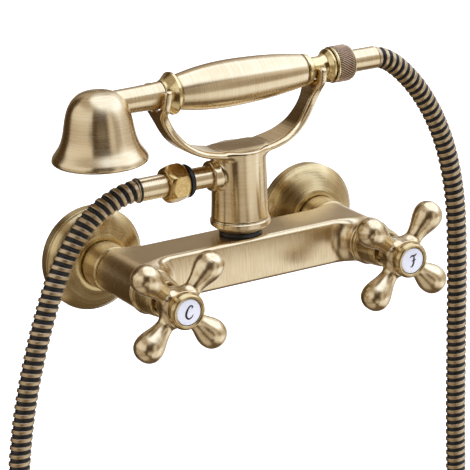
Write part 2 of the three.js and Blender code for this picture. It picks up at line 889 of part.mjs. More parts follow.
// Centre line of the hose as [x, y, z]: out of the outlet on the left, round a hanging loop, and up
// to the hand shower on the right.
const HOSE_LOW = [
  [-69.4, COLUMN_Y, 51.8],
  [-77.5, COLUMN_Y, 50.4],
  [-89.5, COLUMN_Y, 45.6],
  [-102.5, COLUMN_Y, 36.4],
  [-113, COLUMN_Y, 23.6],
  [-122, COLUMN_Y, 8],
  [-130, COLUMN_Y, -11],
  [-138.5, COLUMN_Y, -36],
  [-145.5, COLUMN_Y, -62],
  [-151, COLUMN_Y, -92],
  [-155, COLUMN_Y, -132],
  [-157, COLUMN_Y, -188],
  [-154.5, COLUMN_Y, -248],
  [-145, COLUMN_Y, -305],
  [-124, COLUMN_Y, -360.5],
  [-92, COLUMN_Y, -402.2],
  [-49, COLUMN_Y, -427],
  [0, COLUMN_Y, -435],
];
const HOSE_HIGH = [
  [0, COLUMN_Y, -435],
  [49, COLUMN_Y, -427],
  [92, COLUMN_Y, -402.2],
  [124, COLUMN_Y, -360.5],
  [144.5, COLUMN_Y, -305],
  [153.5, COLUMN_Y, -248],
  [156, COLUMN_Y, -188],
  [156, COLUMN_Y, -136],
  [156.5, COLUMN_Y, -88],
  [157, COLUMN_Y, -40],
  [156, COLUMN_Y, 0],
  [152.5, COLUMN_Y, 24],
  [147, COLUMN_Y, 44.5],
  [138.5, COLUMN_Y, 64],
  [127, COLUMN_Y, 82],
  [113.5, COLUMN_Y, 96.4],
  [104, COLUMN_Y, 103],
  [96.6, COLUMN_Y, 105.3],
];

function hoseRun(points, from, to) {
  const curve = new THREE.CatmullRomCurve3(points.map((p) => new THREE.Vector3(...p)), false, 'centripetal');
  const total = curve.getLength();
  const middle = [];
  for (let i = 0; i <= HOSE_STEPS; i += 1) {
    middle.push(curve.getPointAt((from + (i / HOSE_STEPS) * (total - from - to)) / total));
  }
  const path = new THREE.CatmullRomCurve3(middle, false, 'centripetal');
  const section = new THREE.Shape();
  section.absarc(0, 0, HOSE_R, 0, Math.PI * 2);
  const round = new THREE.Shape(section.getPoints(HOSE_SIDES).slice(0, HOSE_SIDES));
  return new THREE.ExtrudeGeometry(round, { steps: HOSE_STEPS, extrudePath: path, bevelEnabled: false });
}

// ---------------------------------------------------------------- assembly

const group = new THREE.Group();

function add(name, geometry, material) {
  const mesh = new THREE.Mesh(welded(geometry), material);
  mesh.name = name;
  mesh.geometry.computeVertexNormals();
  group.add(mesh);
}

add('mixer_body', mixerBody(), brushedBrass);
for (const [side, sign, turn] of [['left', -1, 0], ['right', 1, 0.07]]) {
  const x = sign * INLET_X;
  add(`wall_union_${side}`, wallUnion(x), rawBrass);
  add(`rosette_${side}`, rosette(x), brushedBrass);
  add(`union_nut_${side}`, unionNut(x), brushedBrass);
  add(`union_washer_${side}`, unionWasher(x), blackRubber);
  add(`bonnet_${side}`, bonnet(x), brushedBrass);
  add(`ceramic_headwork_${side}`, ceramicHeadwork(x), rawBrass);
  add(`headwork_gasket_${side}`, headworkGasket(x), blackRubber);
  add(`spindle_${side}`, spindle(x), rawBrass);
  add(`cross_handle_${side}`, crossHandle(x, turn), brushedBrass);
  add(`handle_screw_${side}`, handleScrew(x), steel);
  add(`index_bezel_${side}`, indexBezel(x), polishedBrass);
  add(`porcelain_index_${side}`, porcelainIndex(x), porcelain);
}

add('column_spigot', spigot(), rawBrass);
add('swivel_seal', swivelSeal(), blackRubber);
add('spigot_o_ring', spigotORing(), blackRubber);
add('swivel_collar', swivelCollar(), brushedBrass);
add('cradle_column', cradleColumn(), brushedBrass);
add('cradle_yoke', cradleYoke(), brushedBrass);
add('outlet_nipple', outletNipple(), brushedBrass);
add('outlet_collar', outletCollar(), blackRubber);
add('hose_hex_nut', hoseHexNut(), rawBrass);
add('lower_hose_seal', hoseSeal(-45.8, -44.1, OUTLET_Z), blackRubber);
add('lower_ferrule', ferrule(-46.1, -66.4, -68.8, OUTLET_Z), brushedBrass);

add('shower_bell', showerBell(), brushedBrass);
add('spray_plate', sprayPlate(), brushedBrass);
add('spray_plate_seal', sprayPlateSeal(), blackRubber);
add('spray_screw', sprayScrew(), steel);
add('shower_neck', showerNeck(), brushedBrass);
add('front_collar', frontCollar(), polishedBrass);
add('water_tube', waterTube(), rawBrass);
add('grip', grip(), brushedBrass);
add('rear_collar', rearCollar(), polishedBrass);
add('shower_tail', showerTail(), brushedBrass);
add('upper_hose_seal', hoseSeal(71.1, 72.6, SHOWER_Z), blackRubber);
add('knurled_nut', knurledNut(), darkBrass);
add('upper_ferrule', ferrule(72.9, 93.6, 96, SHOWER_Z), polishedBrass);

add('hose_lower_run', hoseRun(HOSE_LOW, 0, 0.15), hoseMetal);
add('hose_upper_run', hoseRun(HOSE_HIGH, 0.15, 0), hoseMetal);

export default group;
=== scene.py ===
"""Looks of a wall mounted bath mixer in antique brass.

Two cross handles, a swivelling column with a telephone cradle, a bell hand shower and its wound metal
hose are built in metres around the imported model, which gives every place and every moving body.
"""

import logging
import math
from dataclasses import dataclass
from enum import Enum
from typing import Any, Callable, Sequence

import bmesh
import bpy
import numpy as np
from mathutils import Matrix, Vector


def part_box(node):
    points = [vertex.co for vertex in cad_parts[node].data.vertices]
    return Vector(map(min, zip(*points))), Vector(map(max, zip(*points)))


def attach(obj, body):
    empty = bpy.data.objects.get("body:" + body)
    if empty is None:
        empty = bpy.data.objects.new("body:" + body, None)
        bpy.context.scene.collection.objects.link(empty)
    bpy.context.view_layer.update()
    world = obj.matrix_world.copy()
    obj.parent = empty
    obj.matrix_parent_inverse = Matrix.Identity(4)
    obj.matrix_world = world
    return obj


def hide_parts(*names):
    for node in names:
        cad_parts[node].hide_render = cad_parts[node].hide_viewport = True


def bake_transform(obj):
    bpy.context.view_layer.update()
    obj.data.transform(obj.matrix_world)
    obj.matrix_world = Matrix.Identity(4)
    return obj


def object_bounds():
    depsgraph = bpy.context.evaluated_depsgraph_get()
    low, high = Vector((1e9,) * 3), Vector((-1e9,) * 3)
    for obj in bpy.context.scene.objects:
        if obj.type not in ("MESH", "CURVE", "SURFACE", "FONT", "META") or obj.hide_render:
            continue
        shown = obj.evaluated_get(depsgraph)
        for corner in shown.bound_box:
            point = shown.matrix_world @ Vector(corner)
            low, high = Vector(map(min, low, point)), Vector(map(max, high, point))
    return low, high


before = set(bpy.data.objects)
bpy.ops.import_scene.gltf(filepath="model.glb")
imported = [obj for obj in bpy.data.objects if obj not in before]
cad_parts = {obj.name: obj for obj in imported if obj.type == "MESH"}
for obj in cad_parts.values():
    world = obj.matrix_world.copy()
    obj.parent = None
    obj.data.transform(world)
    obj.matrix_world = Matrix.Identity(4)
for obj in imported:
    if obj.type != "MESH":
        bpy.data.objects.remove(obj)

LOG = logging.getLogger("bath_mixer")
MM = 0.001
CAD_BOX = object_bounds()

Tree = bpy.types.NodeTree
Socket = bpy.types.NodeSocket
Piece = bpy.types.Object
Material = bpy.types.Material
Point3 = tuple[float, float, float]
Corner = tuple[float, float, float]  # radius, height along the axis, radius of the rounding there
Field = Callable[[np.ndarray, np.ndarray, np.ndarray], np.ndarray]


# ---------------------------------------------------------------- small helpers


def linear(colour: str) -> tuple[float, float, float, float]:
    """Turns an sRGB hex colour to linear RGBA.

    Args:
        colour: the colour as "#rrggbb".

    Returns:
        Linear red, green, blue, and an alpha of 1.
    """
    channels = [int(colour[i : i + 2], 16) / 255 for i in (1, 3, 5)]
    light = [c / 12.92 if c <= 0.04045 else ((c + 0.055) / 1.055) ** 2.4 for c in channels]
    return (light[0], light[1], light[2], 1.0)


def add_node(tree: Tree, kind: str, inputs: dict | None = None, **settings: Any) -> bpy.types.Node:
    """Adds one node to a tree, with its settings and links.

    Args:
        tree: the tree that gets the node.
        kind: the node's type.
        inputs: input names or numbers, each with a value or with the output that feeds it.
        **settings: the node's own properties.

    Returns:
        The new node.
    """
    node = tree.nodes.new(kind)
    for key, value in settings.items():
        setattr(node, key, value)
    for key, value in (inputs or {}).items():
        if isinstance(value, Socket):
            tree.links.new(value, node.inputs[key])
        else:
            node.inputs[key].default_value = value
    return node


def calculate(tree: Tree, operation: str, *values: Any, clamp: bool = False) -> Socket:
    """Adds a math node over numbers or outputs, and returns its result."""
    node = add_node(tree, "ShaderNodeMath", dict(enumerate(values)), operation=operation, use_clamp=clamp)
    return node.outputs[0]


def step(tree: Tree, value: Any, start: float, end: float) -> Socket:
    """Adds a smooth step of a value, from 0 at start to 1 at end, and returns its result."""
    inputs = {"Value": value, "From Min": start, "From Max": end}
    if start > end:
        inputs = {"Value": value, "From Min": end, "From Max": start, "To Min": 1.0, "To Max": 0.0}
    return add_node(tree, "ShaderNodeMapRange", inputs, interpolation_type="SMOOTHSTEP").outputs[0]


def flowing(points: Sequence[Sequence[float]], spacing: float) -> np.ndarray:
    """Runs a smooth curve through points, the centripetal Catmull-Rom one.

    Args:
        points: the points to pass through, in any number of dimensions.
        spacing: the largest distance between the points that come back.

    Returns:
        The points of the curve, one per row.
    """
    given = np.array(points, float)
    ends = [2 * given[0] - given[1], 2 * given[-1] - given[-2]]
    p = np.vstack([ends[:1], given, ends[1:]])
    made = [given[:1]]
    for a, b, c, d in zip(p[:-3], p[1:-2], p[2:-1], p[3:]):
        gaps = [math.sqrt(np.linalg.norm(q - r)) for q, r in ((b, a), (c, b), (d, c))]
        m1 = (b - a) / gaps[0] - (c - a) / (gaps[0] + gaps[1]) + (c - b) / gaps[1]
        m2 = (c - b) / gaps[1] - (d - b) / (gaps[1] + gaps[2]) + (d - c) / gaps[2]
        m1, m2 = m1 * gaps[1], m2 * gaps[1]
        count = max(1, math.ceil(np.linalg.norm(c - b) / spacing))
        t = (np.arange(1, count + 1) / count)[:, None]
        places = b * (1 + t * t * (2 * t - 3)) + c * t * t * (3 - 2 * t)
        made.append(places + m1 * t * (t - 1) ** 2 + m2 * t * t * (t - 1))
    return np.vstack(made)


# ---------------------------------------------------------------- meshes


def new_mesh(
    name: str, points: np.ndarray, faces: np.ndarray, normals: np.ndarray | None = None
) -> Piece:
    """Makes a smooth shaded object from points in millimetres.

    Args:
        name: the piece's name.
        points: one point per row.
        faces: one face per row, as point numbers.
        normals: one normal per point, or None where the faces give them.

    Returns:
        The object, linked to the scene.
    """
    mesh = bpy.data.meshes.new(name)
    mesh.from_pydata((points * MM).tolist(), [], faces.tolist())
    mesh.polygons.foreach_set("use_smooth", np.ones(len(mesh.polygons), bool))
    if normals is not None:
        mesh.normals_split_custom_set_from_vertices(normals.tolist())
    piece = bpy.data.objects.new(name, mesh)
    bpy.context.scene.collection.objects.link(piece)
    return piece


class Axis(Enum):
    """The row frame's axes as unit vectors: the axis, and the two across it."""

    X = ((1, 0, 0), (0, 1, 0), (0, 0, 1))
    OUT = ((0, -1, 0), (1, 0, 0), (0, 0, 1))
    Z = ((0, 0, 1), (1, 0, 0), (0, 1, 0))


SUPPORT = 0.25  # mm of straight run kept at each side of a rounding, so that flats stay flat in the shading
LONGEST_STEP = 3.0  # mm between the rings of a turned shape


def rounded(corners: Sequence[Corner], closed: bool) -> np.ndarray:
    """Rounds the corners of an outline.

    Args:
        corners: radius, height and rounding of each corner, in millimetres.
        closed: whether the last corner joins the first.

    Returns:
        The outline's points, close enough together for smooth shading.
    """
    count = len(corners)
    runs: list[np.ndarray] = []
    for i, (radius, height, rounding) in enumerate(corners):
        here = np.array((radius, height))
        if not closed and i in (0, count - 1):
            runs.append(here[None])
            continue
        before = np.array(corners[i - 1][:2]) - here
        after = np.array(corners[(i + 1) % count][:2]) - here
        to_before, to_after = before / np.linalg.norm(before), after / np.linalg.norm(after)
        half = math.acos(max(-1, min(1, float(to_before @ to_after)))) / 2
        reach = 0.0 if half > 1.55 else max(rounding, 0.05) / math.tan(half)
        reach = min(reach, 0.45 * np.linalg.norm(before), 0.45 * np.linalg.norm(after))
        if reach < 1e-4:
            runs.append(here[None])
            continue
        arc_radius = reach * math.tan(half)
        middle = (to_before + to_after) / np.linalg.norm(to_before + to_after)
        centre = here + middle * arc_radius / math.sin(half)
        first, last = here + to_before * reach - centre, here + to_after * reach - centre
        steps = 2 if arc_radius < 0.3 else 5
        turn = math.pi - 2 * half
        side = 1.0 if first[0] * last[1] - first[1] * last[0] > 0 else -1.0
        angles = side * turn * np.arange(steps + 1) / steps
        cosine, sine = np.cos(angles), np.sin(angles)
        turned_x = first[0] * cosine - first[1] * sine
        turned_y = first[0] * sine + first[1] * cosine
        arc = np.stack([turned_x, turned_y], 1) + centre
        runs.append(arc)
    made: list[np.ndarray] = []
    for i, run in enumerate(runs):
        made.extend(run)
        if i == count - 1 and not closed:
            break
        start, end = run[-1], runs[(i + 1) % count][0]
        length = float(np.linalg.norm(end - start))
        if length < 3 * SUPPORT:
            continue
        stops = [SUPPORT / length]
        inner = int(length // LONGEST_STEP)
        stops += [k / (inner + 1) for k in range(1, inner + 1)]
        stops.append(1 - SUPPORT / length)
        made.extend(start + (end - start) * stop for stop in sorted(stops))
    return np.array(made)


def turned(
    name: str, outline: np.ndarray, axis: Axis, centre: Point3, closed: bool = True, sides: int = 96
) -> Piece:
    """Turns an outline about an axis, with a UV map that runs along the outline and round the axis.

    Args:
        name: the piece's name.
        outline: [radius, height] points in millimetres; it closes on itself, or ends on the axis.
        axis: which way the axis points.
        centre: the point of the axis at height 0, in millimetres.
        closed: whether the outline closes on itself.
        sides: how many steps go round.

    Returns:
        The turned piece.
    """
    along, across, up = (np.array(v, float) for v in axis.value)
    rings = len(outline)
    angle = np.arange(sides) / sides * math.tau
    spokes = np.cos(angle)[:, None] * across + np.sin(angle)[:, None] * up
    points = outline[:, None, 1:] * along + outline[:, None, :1] * spokes[None] + np.array(centre)
    bands = rings if closed else rings - 1
    i, j = (a.ravel() for a in np.meshgrid(np.arange(bands), np.arange(sides), indexing="ij"))
    after, beside = (i + 1) % rings, (j + 1) % sides
    faces = np.stack([i * sides + j, i * sides + beside, after * sides + beside, after * sides + j], 1)
    radius, height = outline.T
    area = float(np.sum(radius * np.roll(height, -1) - np.roll(radius, -1) * height))
    handed = float(np.cross(across, up) @ along)
    if area * handed > 0:
        faces = faces[:, ::-1]
    piece = new_mesh(name, points.reshape(-1, 3), faces)
    length = np.append(0, np.cumsum(np.linalg.norm(np.diff(outline, axis=0), axis=1)))
    length = np.append(length, length[-1] + np.linalg.norm(outline[0] - outline[-1])) * MM
    girth = math.tau * float(outline[:, 0].max()) * MM
    layer = piece.data.uv_layers.new(name="surface")
    corner = np.zeros(len(piece.data.loops), int)
    piece.data.loops.foreach_get("vertex_index", corner)
    ring, spoke = corner // sides, corner % sides
    first, start = np.repeat(i, 4), np.repeat(j, 4)
    ring = np.where((ring == 0) & (first == rings - 1), rings, ring)
    spoke = np.where((spoke == 0) & (start == sides - 1), sides, spoke)
    layer.data.foreach_set("uv", np.stack([length[ring], spoke / sides * girth], 1).ravel())
    work = bmesh.new()
    work.from_mesh(piece.data)
    bmesh.ops.remove_doubles(work, verts=work.verts, dist=1e-7)
    work.to_mesh(piece.data)
    work.free()
    return piece


# ---------------------------------------------------------------- solids given by a distance field


def round_join(a: np.ndarray, b: np.ndarray, radius: float) -> np.ndarray:
    """Joins two fields with a concave fillet of that radius."""
    corner = np.hypot(np.maximum(radius - a, 0), np.maximum(radius - b, 0))
    return np.maximum(radius, np.minimum(a, b)) - corner


def round_common(a: np.ndarray, b: np.ndarray, radius: float) -> np.ndarray:
    """Keeps what two fields share, with edges rounded to that radius."""
    corner = np.hypot(np.maximum(radius + a, 0), np.maximum(radius + b, 0))
    return np.minimum(-radius, np.maximum(a, b)) + corner


def outline_field(outline: np.ndarray, across: np.ndarray, up: np.ndarray) -> np.ndarray:
    """Signed distance to a closed outline, negative inside.

    Args:
        outline: the outline's points, one per row.
        across: first coordinates of the places to measure.
        up: second coordinates of the places to measure.

    Returns:
        The distances, in the shape that the two coordinates share.
    """
    across, up = np.broadcast_arrays(across, up)
    nearest = np.full(across.shape, np.inf)
    inside = np.zeros(across.shape, bool)
    for (ax, ay), (bx, by) in zip(outline, np.roll(outline, -1, 0)):
        ex, ey = bx - ax, by - ay
        if ex * ex + ey * ey < 1e-12:
            continue
        wx, wy = across - ax, up - ay
        t = np.clip((wx * ex + wy * ey) / (ex * ex + ey * ey), 0, 1)
        nearest = np.minimum(nearest, (wx - t * ex) ** 2 + (wy - t * ey) ** 2)
        if ay != by:
            inside ^= ((ay > up) != (by > up)) & (across < ex * (up - ay) / ey + ax)
    return np.where(inside, -1, 1) * np.sqrt(nearest)


def cast(name: str, field: Field, low: Point3, high: Point3, cell: float) -> Piece:
    """Makes the surface where a field is zero, as a net of four sided faces pulled onto it.

    Args:
        name: the piece's name.
        field: signed distance in millimetres, negative inside.
        low: lowest corner of the space to search, in millimetres.
        high: highest corner.
        cell: size of the net's cells.

    Returns:
        The piece, shaded by the field's own normals.
    """
    axes = [np.arange(a - 2 * cell, b + 3 * cell, cell) for a, b in zip(low, high)]
    value = np.asarray(field(*np.meshgrid(*axes, indexing="ij", sparse=True)), np.float32)
    shape = tuple(n - 1 for n in value.shape)
    total = np.zeros((3, *shape), np.float32)
    count = np.zeros(shape, np.uint8)
    index = np.meshgrid(*(np.arange(n, dtype=np.float32) for n in shape), indexing="ij", sparse=True)
    crossings = []
    for axis in range(3):
        first, second = np.delete(np.arange(3), axis)
        a = np.take(value, range(shape[axis]), axis)
        b = np.take(value, range(1, shape[axis] + 1), axis)
        crossed = (a < 0) != (b < 0)
        along = np.where(crossed, a / np.where(crossed, a - b, 1), 0)
        crossings.append((crossed, a < 0))
        for df in (0, 1):
            for ds in (0, 1):
                cut: list[slice] = [slice(None)] * 3
                cut[first], cut[second] = slice(df, df + shape[first]), slice(ds, ds + shape[second])
                here = crossed[tuple(cut)]
                total[axis] += np.where(here, index[axis] + along[tuple(cut)], 0)
                total[first] += np.where(here, index[first] + df, 0)
                total[second] += np.where(here, index[second] + ds, 0)
                count += here
    used = count > 0
    number = np.full(shape, -1, np.int64)
    number[used] = np.arange(int(used.sum()))
    points = np.stack([total[k][used] / count[used] for k in range(3)], 1).astype(float) * cell
    points += np.array([a[0] for a in axes])
    faces = []
    for axis, (crossed, starts_inside) in enumerate(crossings):
        first, second = (axis + 1) % 3, (axis + 2) % 3
        found = np.argwhere(crossed)
        found = found[(found[:, first] > 0) & (found[:, second] > 0)]
        found = found[(found[:, first] < shape[first]) & (found[:, second] < shape[second])]
        around = []
        for df, ds in ((1, 1), (0, 1), (0, 0), (1, 0)):
            at = found.copy()
            at[:, first] -= df
            at[:, second] -= ds
            around.append(number[tuple(at.T)])
        quads = np.stack(around, 1)
        flip = ~starts_inside[tuple(found.T)]
        quads[flip] = quads[flip][:, ::-1]
        faces.append(quads)
    for _ in range(2):
        distance, slope = measured(field, points)
        steepness = np.maximum((slope**2).sum(1), 0.1)
        points -= np.clip(distance / steepness, -cell, cell)[:, None] * slope
    normals = measured(field, points)[1]
    normals /= np.maximum(np.linalg.norm(normals, axis=1), 1e-6)[:, None]
    return new_mesh(name, points, np.vstack(faces), normals)


def measured(field: Field, points: np.ndarray) -> tuple[np.ndarray, np.ndarray]:
    """Gives a field's value and slope at each point."""
    reach = 0.08
    slope = np.empty_like(points)
    for axis in range(3):
        ahead, behind = points.copy(), points.copy()
        ahead[:, axis] += reach
        behind[:, axis] -= reach
        slope[:, axis] = (field(*ahead.T) - field(*behind.T)) / (2 * reach)
    return field(*points.T), slope


# ---------------------------------------------------------------- geometry node trees


def node_tree(name: str, inputs: dict[str, float]) -> tuple[Tree, dict[str, Socket]]:
    """Starts a geometry node tree with a geometry input and named sizes.

    Args:
        name: the tree's name.
        inputs: each size's name and value.

    Returns:
        The tree, and the outputs of its input node by name.
    """
    tree = bpy.data.node_groups.new(name, "GeometryNodeTree")
    tree.interface.new_socket("Geometry", in_out="INPUT", socket_type="NodeSocketGeometry")
    for key, value in inputs.items():
        kind = "NodeSocketInt" if isinstance(value, int) else "NodeSocketFloat"
        tree.interface.new_socket(key, in_out="INPUT", socket_type=kind)
    tree.interface.new_socket("Geometry", in_out="OUTPUT", socket_type="NodeSocketGeometry")
    group_input = add_node(tree, "NodeGroupInput")
    return tree, {s.name: s for s in group_input.outputs if s.name}


def grown(piece: Piece, tree: Tree, inputs: dict[str, float]) -> Piece:
    """Runs a node tree on a piece and keeps the result as the piece's plain mesh.

    Args:
        piece: the object that the tree starts from.
        tree: the geometry node tree.
        inputs: the values of the tree's named inputs.

    Returns:
        The same object with its new mesh.
    """
    modifier = piece.modifiers.new("grow", "NODES")
    modifier.node_group = tree
    names = {s.name: s.identifier for s in tree.interface.items_tree if s.in_out == "INPUT"}
    for key, value in inputs.items():
        modifier[names[key]] = value
    graph = bpy.context.evaluated_depsgraph_get()
    mesh = bpy.data.meshes.new_from_object(
        piece.evaluated_get(graph), preserve_all_data_layers=True, depsgraph=graph
    )
    piece.modifiers.remove(modifier)
    piece.data = mesh
    return piece


# ---------------------------------------------------------------- finishes


class Brush(Enum):
    """How fast a brushed pattern changes along X, Y and Z: slowly along the lines, fast across them."""

    ALONG_Z = (1.0, 1.0, 0.02)
    ROUND_X = (1.0, 0.02, 0.02)
    ROUND_Y = (0.02, 1.0, 0.02)
    ROUND_Z = (0.02, 0.02, 1.0)
    SATIN = (0.5, 0.5, 0.5)


@dataclass(frozen=True)
class BrassFinish:
    """Brass that is darkened, brushed back and lacquered: warm, soft gloss with fine lines."""

    name: str
    light: str = "#e9d6b0"
    dark: str = "#d9c196"
    roughness: float = 0.25
    brush: Brush = Brush.SATIN
    line_mm: float = 0.45
    line_depth: float = 0.05
    spread: float = 0.0
    lacquer: float = 0.25

    def material(self) -> Material:
        """Builds the brass: lines in colour, roughness and relief, and slow clouds of patina."""
        made = bpy.data.materials.new(self.name)
        made.use_nodes = True
        tree = made.node_tree
        tree.nodes.clear()
        place = add_node(tree, "ShaderNodeTexCoord").outputs["Object"]
        rates = [rate / (self.line_mm * MM) for rate in self.brush.value]
        stretched = add_node(tree, "ShaderNodeMapping", {"Vector": place, "Scale": rates}).outputs[0]
        lines = add_node(tree, "ShaderNodeTexNoise", {"Vector": stretched, "Scale": 1.0, "Detail": 3.0})
        grain = lines.outputs["Fac"]
        cloud_scale = 1 / (16 * MM)
        clouds = add_node(tree, "ShaderNodeTexNoise", {"Vector": place, "Scale": cloud_scale, "Detail": 2.0})
        cloud_shade = calculate(tree, "MULTIPLY", clouds.outputs["Fac"], 0.5)
        shade = calculate(tree, "MULTIPLY_ADD", grain, 0.9, cloud_shade)
        colour = add_node(
            tree,
            "ShaderNodeMix",
            {"Factor": step(tree, shade, 0.45, 0.95), "A": linear(self.dark), "B": linear(self.light)},
            data_type="RGBA",
        )
        gloss = calculate(tree, "MULTIPLY_ADD", grain, 0.1, self.roughness - 0.05)
        bump = add_node(
            tree, "ShaderNodeBump", {"Height": grain, "Strength": self.line_depth, "Distance": 0.1 * MM}
        )
        shader = add_node(
            tree,
            "ShaderNodeBsdfPrincipled",
            {
                "Base Color": colour.outputs["Result"],
                "Metallic": 1.0,
                "Roughness": gloss,
                "Normal": bump.outputs[0],
                "Coat Weight": self.lacquer,
                "Coat Roughness": 0.25,
            },
        )
        if self.spread:
            tangent = add_node(tree, "ShaderNodeTangent", direction_type="UV_MAP", uv_map="surface")
            tree.links.new(tangent.outputs[0], shader.inputs["Tangent"])
            shader.inputs["Anisotropic"].default_value = self.spread
        add_node(tree, "ShaderNodeOutputMaterial", {"Surface": shader.outputs[0]})
        return made


@dataclass(frozen=True)
class PlainFinish:
    """A finish with one colour, slightly uneven: rubber, porcelain, ink, steel and the floor."""

    name: str
    colour: str
    roughness: float
    metallic: float = 0.0
    unevenness: float = 0.06
    coat: float = 0.0
    grain_mm: float = 1.5

    def material(self) -> Material:
        """Builds the finish, with a fine unevenness in colour and gloss."""
        made = bpy.data.materials.new(self.name)
        made.use_nodes = True
        tree = made.node_tree
        tree.nodes.clear()
        place = add_node(tree, "ShaderNodeTexCoord").outputs["Object"]
        noise = add_node(
            tree, "ShaderNodeTexNoise", {"Vector": place, "Scale": 1 / (self.grain_mm * MM), "Detail": 3.0}
        ).outputs["Fac"]
        base = linear(self.colour)
        darker = tuple(c * (1 - 2 * self.unevenness) for c in base[:3]) + (1.0,)
        colour = add_node(tree, "ShaderNodeMix", {"Factor": noise, "A": darker, "B": base}, data_type="RGBA")
        gloss = calculate(tree, "MULTIPLY_ADD", noise, 0.08, self.roughness - 0.04)
        shader = add_node(
            tree,
            "ShaderNodeBsdfPrincipled",
            {
                "Base Color": colour.outputs["Result"],
                "Metallic": self.metallic,
                "Roughness": gloss,
                "Coat Weight": self.coat,
                "Coat Roughness": 0.05,
            },
        )
        add_node(tree, "ShaderNodeOutputMaterial", {"Surface": shader.outputs[0]})
        return made


@dataclass(frozen=True)
class HoseFinish:
    """Bronzed brass strip wound over a black core: satin bands between dark glossy grooves."""

    name: str = "hose_strip_bronzed_brass"
    strip: str = "#dac5a0"
    strip_dark: str = "#b79a72"
    core: str = "#0d0b09"

    def material(self) -> Material:
        """Builds the hose: the stored band height says where the strip and where the core shows."""
        made = bpy.data.materials.new(self.name)
        made.use_nodes = True
        tree = made.node_tree
        tree.nodes.clear()
        band = add_node(tree, "ShaderNodeAttribute", attribute_name="band").outputs["Fac"]
        place = add_node(tree, "ShaderNodeTexCoord").outputs["Object"]
        noise = {"Vector": place, "Scale": 1 / (1.2 * MM), "Detail": 3.0}
        grain = add_node(tree, "ShaderNodeTexNoise", noise)
        brass = add_node(
            tree,
            "ShaderNodeMix",
            {"Factor": grain.outputs["Fac"], "A": linear(self.strip_dark), "B": linear(self.strip)},
            data_type="RGBA",
        )
        is_strip = step(tree, band, 0.45, 0.75)
        colour = add_node(
            tree,
            "ShaderNodeMix",
            {"Factor": is_strip, "A": linear(self.core), "B": brass.outputs["Result"]},
            data_type="RGBA",
        )
        shader = add_node(
            tree,
            "ShaderNodeBsdfPrincipled",
            {
                "Base Color": colour.outputs["Result"],
                "Metallic": is_strip,
                "Roughness": calculate(tree, "MULTIPLY_ADD", grain.outputs["Fac"], 0.12, 0.34),
            },
        )
        add_node(tree, "ShaderNodeOutputMaterial", {"Surface": shader.outputs[0]})
        return made


class Finishes:
    """Every material of the mixer, made once."""

    def __init__(self) -> None:
        """Builds the materials."""
        # Cast brass brushed up and down the body's face: its highlights break into faint upright lines.
        self.cast = BrassFinish("brass_cast_brushed_upright", brush=Brush.ALONG_Z, line_depth=0.1).material()
        # The cradle, brushed round its column: fine level lines, crisp upright bands of reflection.
        self.cradle = BrassFinish("brass_cast_brushed_level", brush=Brush.ROUND_Z, roughness=0.2).material()
        # Brass turned on a lathe: rings that pull highlights into stripes along the outline.
        turned_in = {"spread": 0.8, "roughness": 0.26}
        self.turned_x = BrassFinish(
            "brass_turned_level_axis", brush=Brush.ROUND_X, line_depth=0.02, **turned_in
        ).material()
        # Its light and dark colours are darker than the other turned brass: painted shade that dims the
        # rosettes, union nuts, bonnets and mark rings.
        self.turned_y = BrassFinish(
            "brass_turned_wall_axis_painted_shade",
            light="#dcc593",
            dark="#c6ab75",
            brush=Brush.ROUND_Y,
            line_depth=0.012,
            **turned_in,
        ).material()
        self.turned_z = BrassFinish("brass_turned_upright_axis", brush=Brush.ROUND_Z, **turned_in).material()
        # Polished by hand, with soft streaks left: the cross handles.
        self.satin = BrassFinish(
            "brass_satin_handles", roughness=0.25, line_mm=1.2, line_depth=0.01
        ).material()
        # Buffed rings that catch a sharp bright line.
        self.polished = BrassFinish(
            "brass_polished_rings", light="#ecd9a6", dark="#d9bf85", roughness=0.18, line_depth=0.03
        ).material()
        # Yellow machined brass of nuts and hidden fittings.
        self.yellow = BrassFinish(
            "brass_yellow_machined",
            light="#dfc284",
            dark="#c8a664",
            roughness=0.22,
            line_mm=0.8,
            line_depth=0.01,
        ).material()
        # Bronzed brass, darker where the knurling holds the patina.
        self.bronzed = BrassFinish(
            "brass_bronzed_knurl", light="#c9ad90", dark="#ab8d70", roughness=0.36, line_mm=0.8
        ).material()
        # Brass left dark in the bottom of the knurl.
        self.patina = BrassFinish(
            "brass_dark_patina", light="#5d4735", dark="#3a2a1e", roughness=0.5
        ).material()
        # Turned steel screws: even, grey and softly bright.
        self.steel = PlainFinish("stainless_steel_turned", "#c0c0c0", 0.3, metallic=1.0).material()
        # Moulded rubber: black, with a dull sheen.
        self.rubber = PlainFinish("nitrile_rubber_black", "#14110f", 0.45).material()
        # Glazed porcelain: bright, faintly violet white under a glass-clear coat.
        self.porcelain = PlainFinish(
            "porcelain_glazed_white", "#e2e1e6", 0.2, unevenness=0.01, coat=0.3
        ).material()
        # Black enamel fired on the porcelain.
        self.enamel = PlainFinish("enamel_fired_black", "#171417", 0.35).material()
        self.hose = HoseFinish().material()


def finish_piece(piece: Piece, material: Material, body: str, slot: str, *nodes: str) -> None:
    """Dresses a piece, rides it on its body and hides the CAD nodes that it stands for.

    Args:
        piece: the piece.
        material: its material.
        body: the moving body that carries it.
        slot: the record's material slot; not used.
        *nodes: the CAD nodes that it stands for.
    """
    piece.data.materials.clear()
    piece.data.materials.append(material)
    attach(piece, body)
    if nodes:
        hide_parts(*nodes)
    LOG.info("%s: %d faces on %s", piece.name, len(piece.data.polygons), body)


def centre_of(node: str) -> Vector:
    """Middle of a CAD node's box, in millimetres."""
    low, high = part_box(node)
    return (low + high) / 2 / MM


# ---------------------------------------------------------------- studio


@dataclass
class Softbox:
    """A soft window of light in the studio.

    Its place, its half sizes and the half width of its soft edge are in degrees. Level 1 is plain white.
    """

    azimuth: float
    elevation: float
    half_width: float
    half_height: float
    edge: float
    level: float


